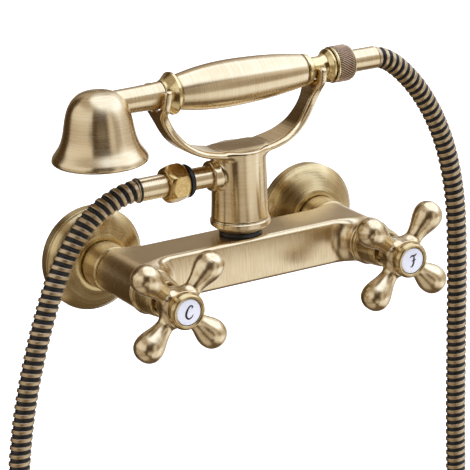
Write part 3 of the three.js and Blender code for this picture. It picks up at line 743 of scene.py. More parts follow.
def outwards(azimuth: float, elevation: float) -> Vector:
    """Gives the unit vector of a direction: azimuth 0 in front of the wall, 90 at the right, in degrees."""
    a, e = math.radians(azimuth), math.radians(elevation)
    return Vector((math.sin(a) * math.cos(e), -math.cos(a) * math.cos(e), math.sin(e)))


@dataclass
class Studio:
    """Camera, pale floor and soft light."""

    azimuth: float = -30.158
    elevation: float = 18.195
    roll: float = -1.836
    distance: float = 1.32955
    lens: float = 174.13
    aim: Point3 = (-0.009182, -0.060, 0.016172)
    floor_gap: float = 0.04

    def camera(self) -> None:
        """Places the camera: low, from the left, a long lens."""
        a, r = math.radians(self.azimuth), math.radians(self.roll)
        back = outwards(self.azimuth, self.elevation)
        level = Vector((math.cos(a), math.sin(a), 0))
        upright = back.cross(level)
        right = level * math.cos(r) + upright * math.sin(r)
        top = upright * math.cos(r) - level * math.sin(r)
        data = bpy.data.cameras.new("camera")
        data.lens, data.sensor_width = self.lens, 36
        data.clip_start, data.clip_end = 0.05, 60
        camera = bpy.data.objects.new("camera", data)
        camera.matrix_world = Matrix.Translation(Vector(self.aim) + back * self.distance) @ Matrix(
            (right, top, back)
        ).transposed().to_4x4()
        bpy.context.scene.collection.objects.link(camera)
        bpy.context.scene.camera = camera
        bpy.context.view_layer.update()

    def world(self) -> None:
        """Lights the room with soft windows, warm and dim between them, and pale where it is seen."""
        world = bpy.data.worlds.new("studio")
        world.use_nodes = True
        tree = world.node_tree
        tree.nodes.clear()
        direction = add_node(tree, "ShaderNodeTexCoord").outputs["Generated"]
        parts = add_node(tree, "ShaderNodeSeparateXYZ", {0: direction}).outputs
        azimuth = calculate(tree, "ARCTAN2", parts["X"], calculate(tree, "MULTIPLY", parts["Y"], -1.0))
        azimuth = calculate(tree, "DEGREES", azimuth)
        elevation = calculate(tree, "DEGREES", calculate(tree, "ARCSINE", parts["Z"]))
        toward = {0: direction, 1: outwards(OVERHEAD.azimuth, OVERHEAD.elevation)}
        nearness = add_node(tree, "ShaderNodeVectorMath", toward, operation="DOT_PRODUCT").outputs["Value"]
        away = calculate(tree, "DEGREES", calculate(tree, "ARCCOSINE", nearness))
        overhead = step(tree, away, OVERHEAD.half_width + OVERHEAD.edge, OVERHEAD.half_width - OVERHEAD.edge)
        light = calculate(tree, "MULTIPLY", overhead, OVERHEAD.level)
        for box in SOFTBOXES:
            beside = calculate(tree, "SUBTRACT", azimuth, box.azimuth)
            beside = calculate(tree, "ABSOLUTE", calculate(tree, "WRAP", beside, 180.0, -180.0))
            above = calculate(tree, "ABSOLUTE", calculate(tree, "SUBTRACT", elevation, box.elevation))
            wide = step(tree, beside, box.half_width + box.edge, box.half_width - box.edge)
            tall = step(tree, above, box.half_height + box.edge, box.half_height - box.edge)
            inside = calculate(tree, "MULTIPLY", wide, tall)
            light = calculate(tree, "MULTIPLY_ADD", inside, box.level, light)
        share = calculate(tree, "MULTIPLY", light, 1 / BRIGHTEST)
        ramp = add_node(tree, "ShaderNodeValToRGB", {"Fac": share})
        stops = ramp.color_ramp.elements
        for stop in list(stops)[1:]:
            stops.remove(stop)
        for number, (level, colour) in enumerate(LIGHT_COLOURS):
            stop = stops[0] if number == 0 else stops.new(level / BRIGHTEST)
            stop.position = level / BRIGHTEST
            stop.color = tuple(c / BRIGHTEST for c in colour) + (1.0,)
        studio = add_node(tree, "ShaderNodeBackground", {"Color": ramp.outputs[0], "Strength": BRIGHTEST})
        seen = add_node(tree, "ShaderNodeBackground", {"Color": linear("#ffffff"), "Strength": 1.0})
        camera_ray = add_node(tree, "ShaderNodeLightPath").outputs["Is Camera Ray"]
        either = {0: camera_ray, 1: studio.outputs[0], 2: seen.outputs[0]}
        mixed = add_node(tree, "ShaderNodeMixShader", either)
        add_node(tree, "ShaderNodeOutputWorld", {"Surface": mixed.outputs[0]})
        bpy.context.scene.world = world

    def floor(self) -> None:
        """Lays a plain pale floor below the loop of the hose."""
        low = CAD_BOX[0].z - self.floor_gap
        reach = 12.0
        corners = np.array([(x * reach, y * reach, low) for x, y in ((-1, -1), (1, -1), (1, 1), (-1, 1))])
        floor = new_mesh("floor", corners / MM, np.array([(0, 1, 2, 3)]))
        made = bpy.data.materials.new("floor_pale")
        made.use_nodes = True
        shader = made.node_tree.nodes["Principled BSDF"]
        shader.inputs["Base Color"].default_value = linear("#f2f1ef")
        shader.inputs["Roughness"].default_value = 0.9
        shader.inputs["Emission Color"].default_value = linear("#ffffff")
        shader.inputs["Emission Strength"].default_value = 0.75
        floor.data.materials.append(made)
        floor.visible_glossy = False

    def build(self) -> None:
        """Sets up camera, light and floor."""
        self.camera()
        self.world()
        self.floor()
        bpy.context.scene.view_settings.view_transform = "Standard"


# One large round light overhead at the right, and windows, some of which overlap, for the rest of the room.
OVERHEAD = Softbox(72, 66, 42, 42, 5, 1.8)
SOFTBOXES = (
    Softbox(96, -8, 48, 39, 5, 0.58),
    Softbox(30, -33, 32, 21, 5, 0.58),
    Softbox(30, 7, 22, 22, 5, 0.3),
    Softbox(14, 9, 10, 20, 5, 0.42),
    Softbox(84, 25, 50, 13, 6, 0.5),
    Softbox(44, -28, 46, 14, 5, 0.46),
    Softbox(142, -20, 24, 24, 6, 0.5),
    Softbox(-19, -18, 14, 15, 5, 0.6),
    Softbox(-94, 25, 45, 18, 4, 0.95),
    Softbox(-96, -12, 36, 20, 4, 0.52),
    Softbox(-84, -56, 46, 20, 8, 0.5),
    Softbox(160, 6, 25, 26, 8, 0.16),
    Softbox(150, 36, 32, 12, 5, 0.4),
    Softbox(-110, 56, 110, 12, 6, 0.45),
    Softbox(0, -68, 360, 24, 6, 0.1),
)

# Colour of the light at each level: golden where it is dim, white where it is bright.
BRIGHTEST = 2.4
LIGHT_COLOURS = (
    (0.0, (0.07, 0.042, 0.018)),
    (0.2, (0.25, 0.2, 0.145)),
    (0.45, (0.48, 0.42, 0.355)),
    (0.75, (0.78, 0.74, 0.71)),
    (1.1, (1.08, 1.12, 1.2)),
    (2.4, (1.7, 2.0, 2.7)),
)


# ---------------------------------------------------------------- hose

# Route of the hose in millimetres: out of the outlet, round the hanging loop, and up to the hand shower.
HOSE_ROUTE = [
    (-64.8, -51.0, 51.8), (-69.4, -51.0, 51.8), (-77.5, -51.0, 50.4), (-89.5, -51.0, 45.6),
    (-102.5, -51.0, 36.4), (-113.0, -51.0, 23.6), (-122.0, -51.0, 8.0), (-130.0, -51.0, -11.0),
    (-138.5, -51.0, -36.0), (-145.5, -51.0, -62.0), (-151.0, -51.0, -92.0), (-155.0, -51.0, -132.0),
    (-157.0, -51.0, -188.0), (-154.5, -51.0, -248.0), (-145.0, -51.0, -305.0), (-124.0, -51.0, -360.5),
    (-92.0, -51.0, -402.2), (-49.0, -51.0, -427.0), (0.0, -51.0, -435.0), (49.0, -51.0, -427.0),
    (92.0, -51.0, -402.2), (124.0, -51.0, -360.5), (144.5, -51.0, -305.0), (153.5, -51.0, -248.0),
    (156.0, -51.0, -188.0), (156.0, -51.0, -136.0), (156.5, -51.0, -88.0), (157.0, -51.0, -40.0),
    (156.0, -51.0, 0.0), (152.5, -51.0, 24.0), (147.0, -51.0, 44.5), (138.5, -51.0, 64.0),
    (127.0, -51.0, 82.0), (113.5, -51.0, 96.4), (104.0, -51.0, 103.0), (96.6, -51.0, 105.3),
    (92.0, -51.0, 105.3),
]


@dataclass
class ShowerHose:
    """The wound metal hose: a brass strip with dark grooves, in one hanging loop."""

    length: float = 1.25
    radius: float = 6.4
    groove_radius: float = 5.55
    pitch: float = 4.85
    around: int = 16
    across: int = 20

    def winding_tree(self) -> Tree:
        """Builds the tree that winds a flat strip round a path, one turn against the next."""
        sizes = {"Pitch": 1.0, "Radius": 1.0, "Groove Radius": 1.0, "Turns": 1.0, "Steps": 1, "Across": 1}
        tree, given = node_tree("wound_strip", sizes)
        path = add_node(tree, "GeometryNodeMeshToCurve", {"Mesh": given["Geometry"]}).outputs[0]
        strip = add_node(
            tree,
            "GeometryNodeMeshGrid",
            {"Size X": 1.0, "Size Y": 1.0, "Vertices X": given["Steps"], "Vertices Y": given["Across"]},
        )
        place = add_node(tree, "GeometryNodeInputPosition").outputs[0]
        parts = add_node(tree, "ShaderNodeSeparateXYZ", {0: place}).outputs
        turn = calculate(tree, "MULTIPLY", calculate(tree, "ADD", parts["X"], 0.5), given["Turns"])
        edge = calculate(tree, "SUBTRACT", 0.5, calculate(tree, "ABSOLUTE", parts["Y"]))
        side = calculate(tree, "ADD", parts["Y"], 0.5)
        distance = calculate(tree, "MULTIPLY", calculate(tree, "ADD", turn, side), given["Pitch"])
        sample = add_node(
            tree, "GeometryNodeSampleCurve", {"Curves": path, "Length": distance}, mode="LENGTH"
        )
        length = add_node(tree, "GeometryNodeCurveLength", {0: path}).outputs[0]
        band = step(tree, edge, 0.24, 0.28)
        rib = calculate(tree, "MULTIPLY", step(tree, edge, 0.09, 0.0), 0.3)
        rise = calculate(tree, "SUBTRACT", given["Radius"], given["Groove Radius"])
        rise = calculate(tree, "MULTIPLY", calculate(tree, "ADD", band, rib), rise)
        radius = calculate(tree, "ADD", given["Groove Radius"], rise)
        left = calculate(tree, "DIVIDE", calculate(tree, "SUBTRACT", length, distance), 2 * MM, clamp=True)
        closing = calculate(tree, "MINIMUM", calculate(tree, "DIVIDE", distance, 2 * MM, clamp=True), left)
        radius = calculate(tree, "MULTIPLY", radius, closing)
        angle = calculate(tree, "MULTIPLY", turn, math.tau)
        normal, tangent = sample.outputs["Normal"], sample.outputs["Tangent"]
        sideways = add_node(tree, "ShaderNodeVectorMath", {0: tangent, 1: normal}, operation="CROSS_PRODUCT")
        spokes = []
        for vector, wave in ((normal, "COSINE"), (sideways.outputs[0], "SINE")):
            amount = calculate(tree, "MULTIPLY", calculate(tree, wave, angle), radius)
            scaled = add_node(tree, "ShaderNodeVectorMath", {0: vector, "Scale": amount}, operation="SCALE")
            spokes.append(scaled.outputs[0])
        spoke = add_node(tree, "ShaderNodeVectorMath", dict(enumerate(spokes))).outputs[0]
        reach = {0: sample.outputs["Position"], 1: spoke}
        surface = add_node(tree, "ShaderNodeVectorMath", reach).outputs[0]
        marked = add_node(
            tree,
            "GeometryNodeStoreNamedAttribute",
            {"Geometry": strip.outputs["Mesh"], "Name": "band", "Value": band},
            data_type="FLOAT",
            domain="POINT",
        )
        laid = {"Geometry": marked.outputs[0], "Position": surface}
        wound = add_node(tree, "GeometryNodeSetPosition", laid)
        seams = {"Geometry": wound.outputs[0], "Distance": 1e-6}
        merged = add_node(tree, "GeometryNodeMergeByDistance", seams)
        smooth = add_node(tree, "GeometryNodeSetShadeSmooth", {"Geometry": merged.outputs[0]})
        real = add_node(tree, "GeometryNodeRealizeInstances", {0: smooth.outputs[0]})
        dressed = add_node(tree, "GeometryNodeSetMaterial", {"Geometry": real.outputs[0]})
        add_node(tree, "NodeGroupOutput", {0: dressed.outputs[0]})
        return tree

    def build(self, finishes: Finishes) -> Piece:
        """Winds the hose along its route.

        Args:
            finishes: the mixer's materials.

        Returns:
            The hose.
        """
        route = flowing(HOSE_ROUTE, 4.0)
        edges = [(k, k + 1) for k in range(len(route) - 1)]
        mesh = bpy.data.meshes.new("hose")
        mesh.from_pydata((route * MM).tolist(), edges, [])
        piece = bpy.data.objects.new("hose", mesh)
        bpy.context.scene.collection.objects.link(piece)
        whole = float(np.linalg.norm(np.diff(route, axis=0), axis=1).sum())
        turns = whole / self.pitch - 1
        tree = self.winding_tree()
        tree.nodes["Set Material"].inputs["Material"].default_value = finishes.hose
        sizes = {
            "Pitch": self.pitch * MM,
            "Radius": self.radius * MM,
            "Groove Radius": self.groove_radius * MM,
            "Turns": turns,
            "Steps": round(turns * self.around) + 1,
            "Across": self.across + 1,
        }
        grown(piece, tree, sizes)
        work = bmesh.new()
        work.from_mesh(piece.data)
        bmesh.ops.recalc_face_normals(work, faces=work.faces)
        work.to_mesh(piece.data)
        work.free()
        LOG.info("hose: %.1f mm, %d faces", whole, len(piece.data.polygons))
        return piece

    def declare(self, piece: Piece) -> None:
        """Hides the CAD hose runs and bakes the hose's place into its mesh."""
        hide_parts("hose_lower_run", "hose_upper_run")
        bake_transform(piece)


# ---------------------------------------------------------------- body on the wall


@dataclass
class WallBody:
    """Everything that is fixed to the wall: body, supply unions, rosettes and bonnets."""

    finishes: Finishes
    half_height: float = 13.5
    back: float = 36.0
    front: float = 66.0
    crown: float = 110.0
    chamber_radius: float = 13.9
    chamber_back: float = 34.0
    chamber_front: float = 76.0
    fillet: float = 9.0
    edge: float = 2.6

    def body_field(self, x: np.ndarray, y: np.ndarray, z: np.ndarray) -> np.ndarray:
        """Distance to the casting: a crowned bar that flows into the two valve chambers."""
        out = -y
        reach = centre_of("bonnet_right").x
        beside = np.abs(x) - reach
        front = out - self.front + z * z / (2 * self.crown)
        bar = np.maximum(np.maximum(front, self.back - out), beside)
        round_side = np.hypot(beside, z) - self.chamber_radius
        middle = (self.chamber_front + self.chamber_back) / 2
        half = (self.chamber_front - self.chamber_back) / 2
        chamber = round_common(round_side, np.abs(out - middle) - half, 1.0)
        joined = round_join(bar, chamber, self.fillet)
        capsule = np.hypot(np.maximum(beside, 0), z) - (self.half_height + 0.15)
        return round_common(joined, capsule, self.edge)

    def body(self) -> None:
        """Casts the body."""
        low, high = (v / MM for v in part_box("mixer_body"))
        piece = cast("mixer_casting", self.body_field, low, high, 0.85)
        finish_piece(piece, self.finishes.cast, "mixer", "brushed_brass", "mixer_body")

    def supply(self, side: str) -> None:
        """Turns the rosette, union nut and bonnet of one side.

        Args:
            side: "left" or "right".
        """
        at = centre_of(f"rosette_{side}")
        centre = (at.x, 0.0, at.z)
        dome = flowing([(30.9, 7.0), (28.6, 9.7), (24.6, 12.6), (20.2, 15.0), (16.8, 17.0)], 1.0)
        rim = rounded([(29.5, 0, 0.1), (31.5, 0, 0.5), (31.5, 6.6, 0.7), (30.9, 7.0, 0.2)], False)
        inside = [(12.2, 17.2), (12.2, 15.4), (14.6, 15.2), (19.0, 13.0), (23.3, 10.6), (27.2, 7.8),
                  (29.5, 5.6)]
        rosette = turned(f"rosette_cover_{side}", np.vstack([rim, dome[1:], inside]), Axis.OUT, centre)
        finish_piece(rosette, self.finishes.turned_y, "mixer", "brushed_brass", f"rosette_{side}")
        nut = rounded(
            [(12.1, 17.6, 0.2), (13.4, 17.6, 0.5), (14.0, 19.2, 0.8), (14.0, 32.4, 0.6), (13.2, 33.6, 0.3),
             (9.9, 33.7, 0.1), (9.9, 30.9, 0.1), (12.1, 30.9, 0.1)],
            True,
        )
        union = turned(f"union_collar_{side}", nut, Axis.OUT, centre)
        finish_piece(union, self.finishes.turned_y, "mixer", "brushed_brass", f"union_nut_{side}")
        shroud = rounded(
            [(10.6, 76.3, 0.1), (13.2, 76.3, 0.4), (13.8, 77.4, 0.8), (13.2, 78.6, 0.4), (12.4, 79.2, 0.5),
             (12.1, 85.0, 8.0), (11.4, 91.0, 6.0), (10.6, 94.6, 0.8), (10.0, 95.0, 0.2), (8.8, 95.0, 0.2),
             (9.0, 88.0, 0.2), (10.6, 84.0, 0.2)],
            True,
        )
        bonnet = turned(f"valve_bonnet_{side}", shroud, Axis.OUT, centre)
        finish_piece(bonnet, self.finishes.turned_y, "mixer", "brushed_brass", f"bonnet_{side}")

    def build(self) -> None:
        """Builds the body and both sides, and dresses what stays hidden inside."""
        self.body()
        for side in ("left", "right"):
            self.supply(side)
            for node in ("wall_union", "ceramic_headwork"):
                dress_node(f"{node}_{side}", self.finishes.yellow)
            for node in ("union_washer", "headwork_gasket"):
                dress_node(f"{node}_{side}", self.finishes.rubber)
        dress_node("column_spigot", self.finishes.yellow)
        dress_node("spigot_o_ring", self.finishes.rubber)
        seal = rounded([(10.7, 13.8, 0.1), (12.8, 13.8, 0.4), (12.8, 16.2, 0.4), (10.7, 16.2, 0.1)], True)
        column = centre_of("swivel_seal")
        piece = turned("swivel_ring", seal, Axis.Z, (column.x, column.y, 0))
        finish_piece(piece, self.finishes.rubber, "mixer", "black_rubber", "swivel_seal")


def dress_node(node: str, material: Material) -> None:
    """Gives a CAD node that stays its own material."""
    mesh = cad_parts[node].data
    mesh.materials.clear()
    mesh.materials.append(material)


# ---------------------------------------------------------------- handles


class Mark(Enum):
    """The generic mark on a handle: strokes as points with half widths, in millimetres from the middle."""

    HOT = "C"
    COLD = "F"


MARK_STROKES = {
    Mark.HOT: [
        [(1.5, 2.2, 0.2), (2.2, 3.1, 0.42), (1.1, 3.8, 0.42), (-0.6, 2.7, 0.5), (-2.0, 0.2, 0.62),
         (-2.0, -2.2, 0.62), (-0.5, -3.6, 0.5), (1.3, -2.9, 0.4), (2.4, -1.4, 0.18)],
    ],
    Mark.COLD: [
        [(0.9, 3.1, 0.3), (0.5, 0.8, 0.56), (-0.1, -1.6, 0.6), (-0.9, -3.2, 0.46), (-2.1, -3.2, 0.22)],
        [(-1.9, 2.5, 0.22), (-0.6, 3.3, 0.44), (1.2, 3.1, 0.5), (3.0, 3.8, 0.22)],
        [(-1.2, 0.2, 0.2), (0.3, 0.5, 0.4), (2.0, 0.6, 0.2)],
    ],
}


@dataclass
class CrossHandle:
    """A four armed handle with its screwed ring and porcelain mark."""

    finishes: Finishes
    side: str
    body_name: str
    turn: float
    mark: Mark
    plane: float = 109.0
    hub_back: float = 98.0
    hub_front: float = 114.5

    def arm_outline(self) -> np.ndarray:
        """Half outline of one arm: a teardrop that grows out of a slim neck."""
        top = flowing(
            [(0, 5.0), (9, 4.9), (14, 5.1), (18, 5.9), (22, 7.3), (25.5, 8.4), (28.8, 8.7), (32.2, 8.0),
             (35.2, 5.6), (36.7, 2.6), (37.0, 0)],
            1.2,
        )
        return np.vstack([top, top[-2::-1] * (1, -1)])

    def field(self) -> Field:
        """Distance to the handle: a waisted hub and four arms with soft webs between them."""
        arm = self.arm_outline()
        hub = np.array(
            [(0, self.hub_back), (8.8, self.hub_back), (9.6, 99.2), (10.4, 102.6), (11.0, 106.0),
             (11.1, 110.0), (10.6, self.hub_front), (0, self.hub_front)]
        )
        hub = np.vstack([hub, hub[::-1] * (-1, 1)])
        at = centre_of(f"spindle_{self.side}")
        cosine, sine = math.cos(math.pi / 4 + self.turn), math.sin(math.pi / 4 + self.turn)
        well = self.hub_back + 2.5

        def distance(x: np.ndarray, y: np.ndarray, z: np.ndarray) -> np.ndarray:
            """Distance to the handle at points of the row frame."""
            x, z, out = x - at.x, z - at.z, -y
            along, beside = np.abs(x * cosine + z * sine), np.abs(z * cosine - x * sine)
            first = outline_field(arm, along, np.hypot(beside, out - self.plane))
            second = outline_field(arm, beside, np.hypot(along, out - self.plane))
            middle = outline_field(hub, np.hypot(x, z), out)
            joined = round_join(np.minimum(first, second), middle, 3.6)
            recess = np.maximum(np.hypot(x, z) - 7.9, out - well)
            return np.maximum(joined, -recess)

        return distance

    def ring(self) -> None:
        """Turns the screwed ring that frames the mark."""
        at = centre_of(f"index_bezel_{self.side}")
        outline = rounded(
            [(6.4, 114.8, 0.1), (10.0, 114.8, 0.3), (10.8, 116.2, 0.8), (10.8, 118.6, 0.6),
             (10.1, 120.2, 0.8), (9.2, 121.0, 0.6), (7.9, 120.4, 0.3), (7.9, 117.4, 0.1),
             (6.4, 117.4, 0.1)],
            True,
        )
        piece = turned(f"mark_ring_{self.side}", outline, Axis.OUT, (at.x, 0, at.z))
        bezel = f"index_bezel_{self.side}"
        finish_piece(piece, self.finishes.turned_y, self.body_name, "polished_brass", bezel)
        disc = rounded([(0, 117.7, 0), (7.6, 117.7, 0.1), (7.6, 120.0, 0.5), (0, 121.0, 0)], False)
        crowned = turned(f"mark_disc_{self.side}", disc, Axis.OUT, (at.x, 0, at.z), closed=False)
        index = f"porcelain_index_{self.side}"
        finish_piece(crowned, self.finishes.porcelain, self.body_name, "porcelain", index)

    def strokes(self) -> None:
        """Draws the mark as fired enamel, a ribbon just proud of the porcelain."""
        at = centre_of(f"index_bezel_{self.side}")
        work = bmesh.new()
        cosine, sine = math.cos(self.turn), math.sin(self.turn)
        for stroke in MARK_STROKES[self.mark]:
            line = flowing(stroke, 0.35)
            direction = np.gradient(line[:, :2], axis=0)
            direction /= np.linalg.norm(direction, axis=1)[:, None]
            offset = np.stack([-direction[:, 1], direction[:, 0]], 1) * line[:, 2:]
            rows = []
            for depth in (0.25, -0.07):
                for sign in (1, -1):
                    flat = line[:, :2] + sign * offset
                    radius = np.hypot(flat[:, 0], flat[:, 1])
                    out = 121.0 - radius / 7.6 * 1.0 - depth
                    x = flat[:, 0] * cosine - flat[:, 1] * sine
                    z = flat[:, 0] * sine + flat[:, 1] * cosine
                    rows.append(np.stack([at.x + x, -out, at.z + z], 1))
            left_in, right_in, left_out, right_out = (
                [work.verts.new(p * MM) for p in row] for row in rows
            )
            loops = (left_out, right_out, right_in, left_in)
            for a, b in zip(loops, loops[1:] + loops[:1]):
                for k in range(len(line) - 1):
                    work.faces.new((a[k], b[k], b[k + 1], a[k + 1]))
            work.faces.new([loop[0] for loop in loops])
            work.faces.new([loop[-1] for loop in loops[::-1]])
        bmesh.ops.recalc_face_normals(work, faces=work.faces)
        mesh = bpy.data.meshes.new(f"mark_{self.side}")
        work.to_mesh(mesh)
        work.free()
        piece = bpy.data.objects.new(f"mark_{self.side}", mesh)
        bpy.context.scene.collection.objects.link(piece)
        finish_piece(piece, self.finishes.enamel, self.body_name, "black_rubber")

    def build(self) -> None:
        """Builds the handle and everything on it."""
        low, high = (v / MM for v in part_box(f"cross_handle_{self.side}"))
        piece = cast(f"four_arm_handle_{self.side}", self.field(), low, high, 0.6)
        node = f"cross_handle_{self.side}"
        finish_piece(piece, self.finishes.satin, self.body_name, "brushed_brass", node)
        self.ring()
        self.strokes()
        dress_node(f"spindle_{self.side}", self.finishes.yellow)
        dress_node(f"handle_screw_{self.side}", self.finishes.steel)


# ---------------------------------------------------------------- column and cradle


@dataclass
class Fork:
    """One end of the yoke: half widths, depth of the slot's round bottom, height and lean of the tips."""

    half: float
    slot: float
    cup: float
    tip: float
    lean: float


LEFT_FORK = Fork(14.1, 9.6, 8.4, 110.8, 2.2)
RIGHT_FORK = Fork(12.5, 6.9, 6.9, 108.0, 0.0)


@dataclass
class Cradle:
    """The swivelling column, the yoke on it, and the hose outlet at its left."""

    finishes: Finishes
    foot_radius: float = 17.2
    radius: float = 16.4
    bottom: float = 24.3
    top: float = 66.8
    boss_radius: float = 9.0
    boss_reach: float = 20.4
    slot_height: float = 105.3
    lean_from: float = 97.0

    def arm_outline(self, fork: Fork) -> np.ndarray:
        """The right half of the yoke seen from the front, from the saddle out to the fork and back."""
        inner = flowing(
            [(14, 67.2), (24, 69.5), (30, 71.7), (37, 76.2), (41, 80.5), (44, 84.6), (47, 90), (49.5, 95),
             (50.7, 100)],
            2.5,
        )
        outer = flowing(
            [(55.6, 101), (54.9, 95), (52.4, 89), (49, 82.6), (44.5, 76.6), (37.5, 70.8), (30.5, 67.2),
             (24, 65), (15, 63.2)],
            2.5,
        )
        half = np.vstack([inner, [(50.7, fork.tip), (55.6, fork.tip)], outer])
        rise = np.maximum(0, half[:, 1] - self.lean_from) / (fork.tip - self.lean_from)
        half[:, 0] -= fork.lean * rise
        return half

    def front_outline(self) -> np.ndarray:
        """The yoke seen from the front: saddle and two swept arms."""
        left = self.arm_outline(LEFT_FORK)[::-1] * (-1, 1)
        return np.vstack([[(0, self.top)], self.arm_outline(RIGHT_FORK), left])

    def side_outline(self, fork: Fork) -> np.ndarray:
        """The yoke seen from its end: a strip that widens into a fork of two round prongs.

        Args:
            fork: the fork at that end.

        Returns:
            The outline's points, as distance from the column's plane and height.
        """
        edge = flowing(
            [(12, 60), (11.6, 66), (9.4, 71.5), (7.6, 78), (6.8, 87), (8.3, 93), (fork.half - 1, 98.5),
             (fork.half, 103)],
            2.0,
        )
        half_width = (fork.half - fork.slot) / 2
        angles = np.linspace(0, math.pi, 9)
        prong = np.stack([np.cos(angles), np.sin(angles) - 1], 1) * half_width
        prong += (fork.slot + half_width, fork.tip)
        bend = np.linspace(0, math.pi / 2, 10)
        cup = np.stack([fork.slot * np.cos(bend), self.slot_height - fork.cup * np.sin(bend)], 1)
        half = np.vstack([edge, prong, cup])
        return np.vstack([half, half[-2::-1] * (-1, 1)])

    def field(self) -> Field:
        """Distance to the casting: column, boss and yoke, run into each other with fillets."""
        front = self.front_outline()
        left, right = self.side_outline(LEFT_FORK), self.side_outline(RIGHT_FORK)
        at = centre_of("swivel_collar")
        outlet = centre_of("outlet_collar").z

        def distance(x: np.ndarray, y: np.ndarray, z: np.ndarray) -> np.ndarray:
            """Distance to the casting at points of the row frame."""
            x, y = x - at.x, y - at.y
            fall = np.clip((z - self.bottom) / 24, 0, 1)
            radius = self.radius + (self.foot_radius - self.radius) * (1 - fall) ** 2
            column = round_common(np.hypot(x, y) - radius, z - self.top, 1.6)
            column = round_common(column, self.bottom - z, 0.5)
            boss = np.maximum(np.hypot(y, z - outlet) - self.boss_radius, x)
            boss = round_common(boss, -x - self.boss_reach, 0.9)
            side = np.where(x < 0, outline_field(left, y, z), outline_field(right, y, z))
            yoke = round_common(outline_field(front, x, z), side, 2.2)
            return round_join(round_join(column, boss, 1.6), yoke, 3.2)

        return distance

    def outlet(self) -> list[Piece]:
        """Turns the hose outlet: nipple, black ring, nut and ferrule.

        Returns:
            The pieces that belong to the hose.
        """
        height = centre_of("outlet_collar").z
        centre = (0.0, centre_of("outlet_collar").y, height)
        nipple = rounded(
            [(4, -14, 0.1), (5.9, -14, 0.1), (5.9, -20.6, 0.1), (6.5, -20.7, 0.2), (6.5, -33, 0.3),
             (7.6, -33.3, 0.1), (7.6, -43.8, 0.2), (4, -43.8, 0.1)],
            True,
        )
        piece = turned("outlet_pipe", nipple, Axis.X, centre)
        finish_piece(piece, self.finishes.turned_x, "cradle", "brushed_brass", "outlet_nipple")
        collar = rounded([(7.9, -33.4, 0.1), (8.7, -33.4, 0.3), (9.8, -35, 0.8), (9.8, -36.5, 0.4),
                          (7.9, -36.5, 0.1)], True)
        piece = turned("outlet_ring", collar, Axis.X, centre)
        finish_piece(piece, self.finishes.rubber, "cradle", "black_rubber", "outlet_collar")
        nut = HexNut(self.finishes).build(centre)
        sleeve = ferrule("ferrule_lower", centre, -46.1, -68.8)
        finish_piece(sleeve, self.finishes.turned_x, "cradle", "brushed_brass", "lower_ferrule")
        dress_node("lower_hose_seal", self.finishes.rubber)
        ring = end_ring("ferrule_ring_lower", centre, -67.6)
        finish_piece(ring, self.finishes.rubber, "cradle", "black_rubber")
        return [nut, sleeve, ring]

    def build(self) -> list[Piece]:
        """Builds the cradle.

        Returns:
            The pieces that belong to the hose.
        """
        low, high = (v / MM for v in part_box("cradle_yoke"))
        low.z = self.bottom
        piece = cast("cradle_casting", self.field(), low, high, 0.65)
        finish_piece(piece, self.finishes.cradle, "cradle", "brushed_brass", "cradle_column", "cradle_yoke")
        at = centre_of("swivel_collar")
        bead = rounded(
            [(10.8, 16.5, 0.1), (12.8, 16.5, 0.4), (16.7, 19.3, 1.0), (17.1, 19.7, 0.2), (17.9, 20.4, 0.6),
             (17.9, 22.9, 0.6), (17.2, 23.5, 0.2), (17.2, 24.1, 0.2), (10.8, 24.1, 0.1)],
            True,
        )
        collar = turned("column_bead", bead, Axis.Z, (at.x, at.y, 0))
        finish_piece(collar, self.finishes.turned_z, "cradle", "brushed_brass", "swivel_collar")
        return self.outlet()


@dataclass
class HexNut:
    """The six sided nut of the hose, with its corners turned off."""

    finishes: Finishes
    corners: float = 23.6
    back: float = 36.8
    front: float = 50.3
    bore: float = 7.1

    def build(self, centre: Point3) -> Piece:
        """Makes the nut.

        Args:
            centre: the outlet's axis at the column's middle, in millimetres.

        Returns:
            The nut.
        """
        flat = self.corners / 2 * math.cos(math.pi / 6)

        def distance(x: np.ndarray, y: np.ndarray, z: np.ndarray) -> np.ndarray:
            """Distance to the nut at points of the row frame."""
            out, y, z = -x, y - centre[1], z - centre[2]
            lean = z * math.sqrt(3) / 2
            sides = [np.abs(y), np.abs(y * 0.5 + lean), np.abs(y * 0.5 - lean)]
            prism = np.maximum(np.maximum(sides[0], sides[1]), sides[2]) - flat
            radius = np.hypot(y, z)
            length = np.maximum(self.back - out, out - self.front)
            chamfer = (radius + 0.85 * length - 9.3) * 0.76
            whole = round_common(round_common(prism, length, 0.5), chamfer, 1.2)
            return np.maximum(whole, self.bore - radius)

        low, high = (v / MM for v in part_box("hose_hex_nut"))
        piece = cast("hexagon_nut", distance, low, high, 0.4)
        finish_piece(piece, self.finishes.yellow, "cradle", "bare_brass", "hose_hex_nut")
        return piece


def ferrule(name: str, centre: Point3, flange: float, end: float) -> Piece:
    """Turns the crimped sleeve at one end of the hose.

    Args:
        name: the piece's name.
        centre: the axis, in millimetres.
        flange: where the sleeve starts inside its nut.
        end: where the hose leaves it.

    Returns:
        The sleeve.
    """
    s = math.copysign(1, end)
    outline = rounded(
        [(3.6, flange, 0.1), (7.0, flange, 0.1), (6.8, flange + s * 2, 0.1), (6.8, end - s * 0.2, 0.3),
         (6.45, end, 0.15), (3.6, end, 0.1)],
        True,
    )
    return turned(name, outline, Axis.X, centre)


def end_ring(name: str, centre: Point3, middle: float) -> Piece:
    """Turns the dark ring round the mouth of a ferrule."""
    low, high = middle - 0.7, middle + 0.7
    outline = rounded([(6.6, low, 0.1), (7.25, low, 0.4), (7.25, high, 0.4), (6.6, high, 0.1)], True)
    return turned(name, outline, Axis.X, centre)


# ---------------------------------------------------------------- hand shower


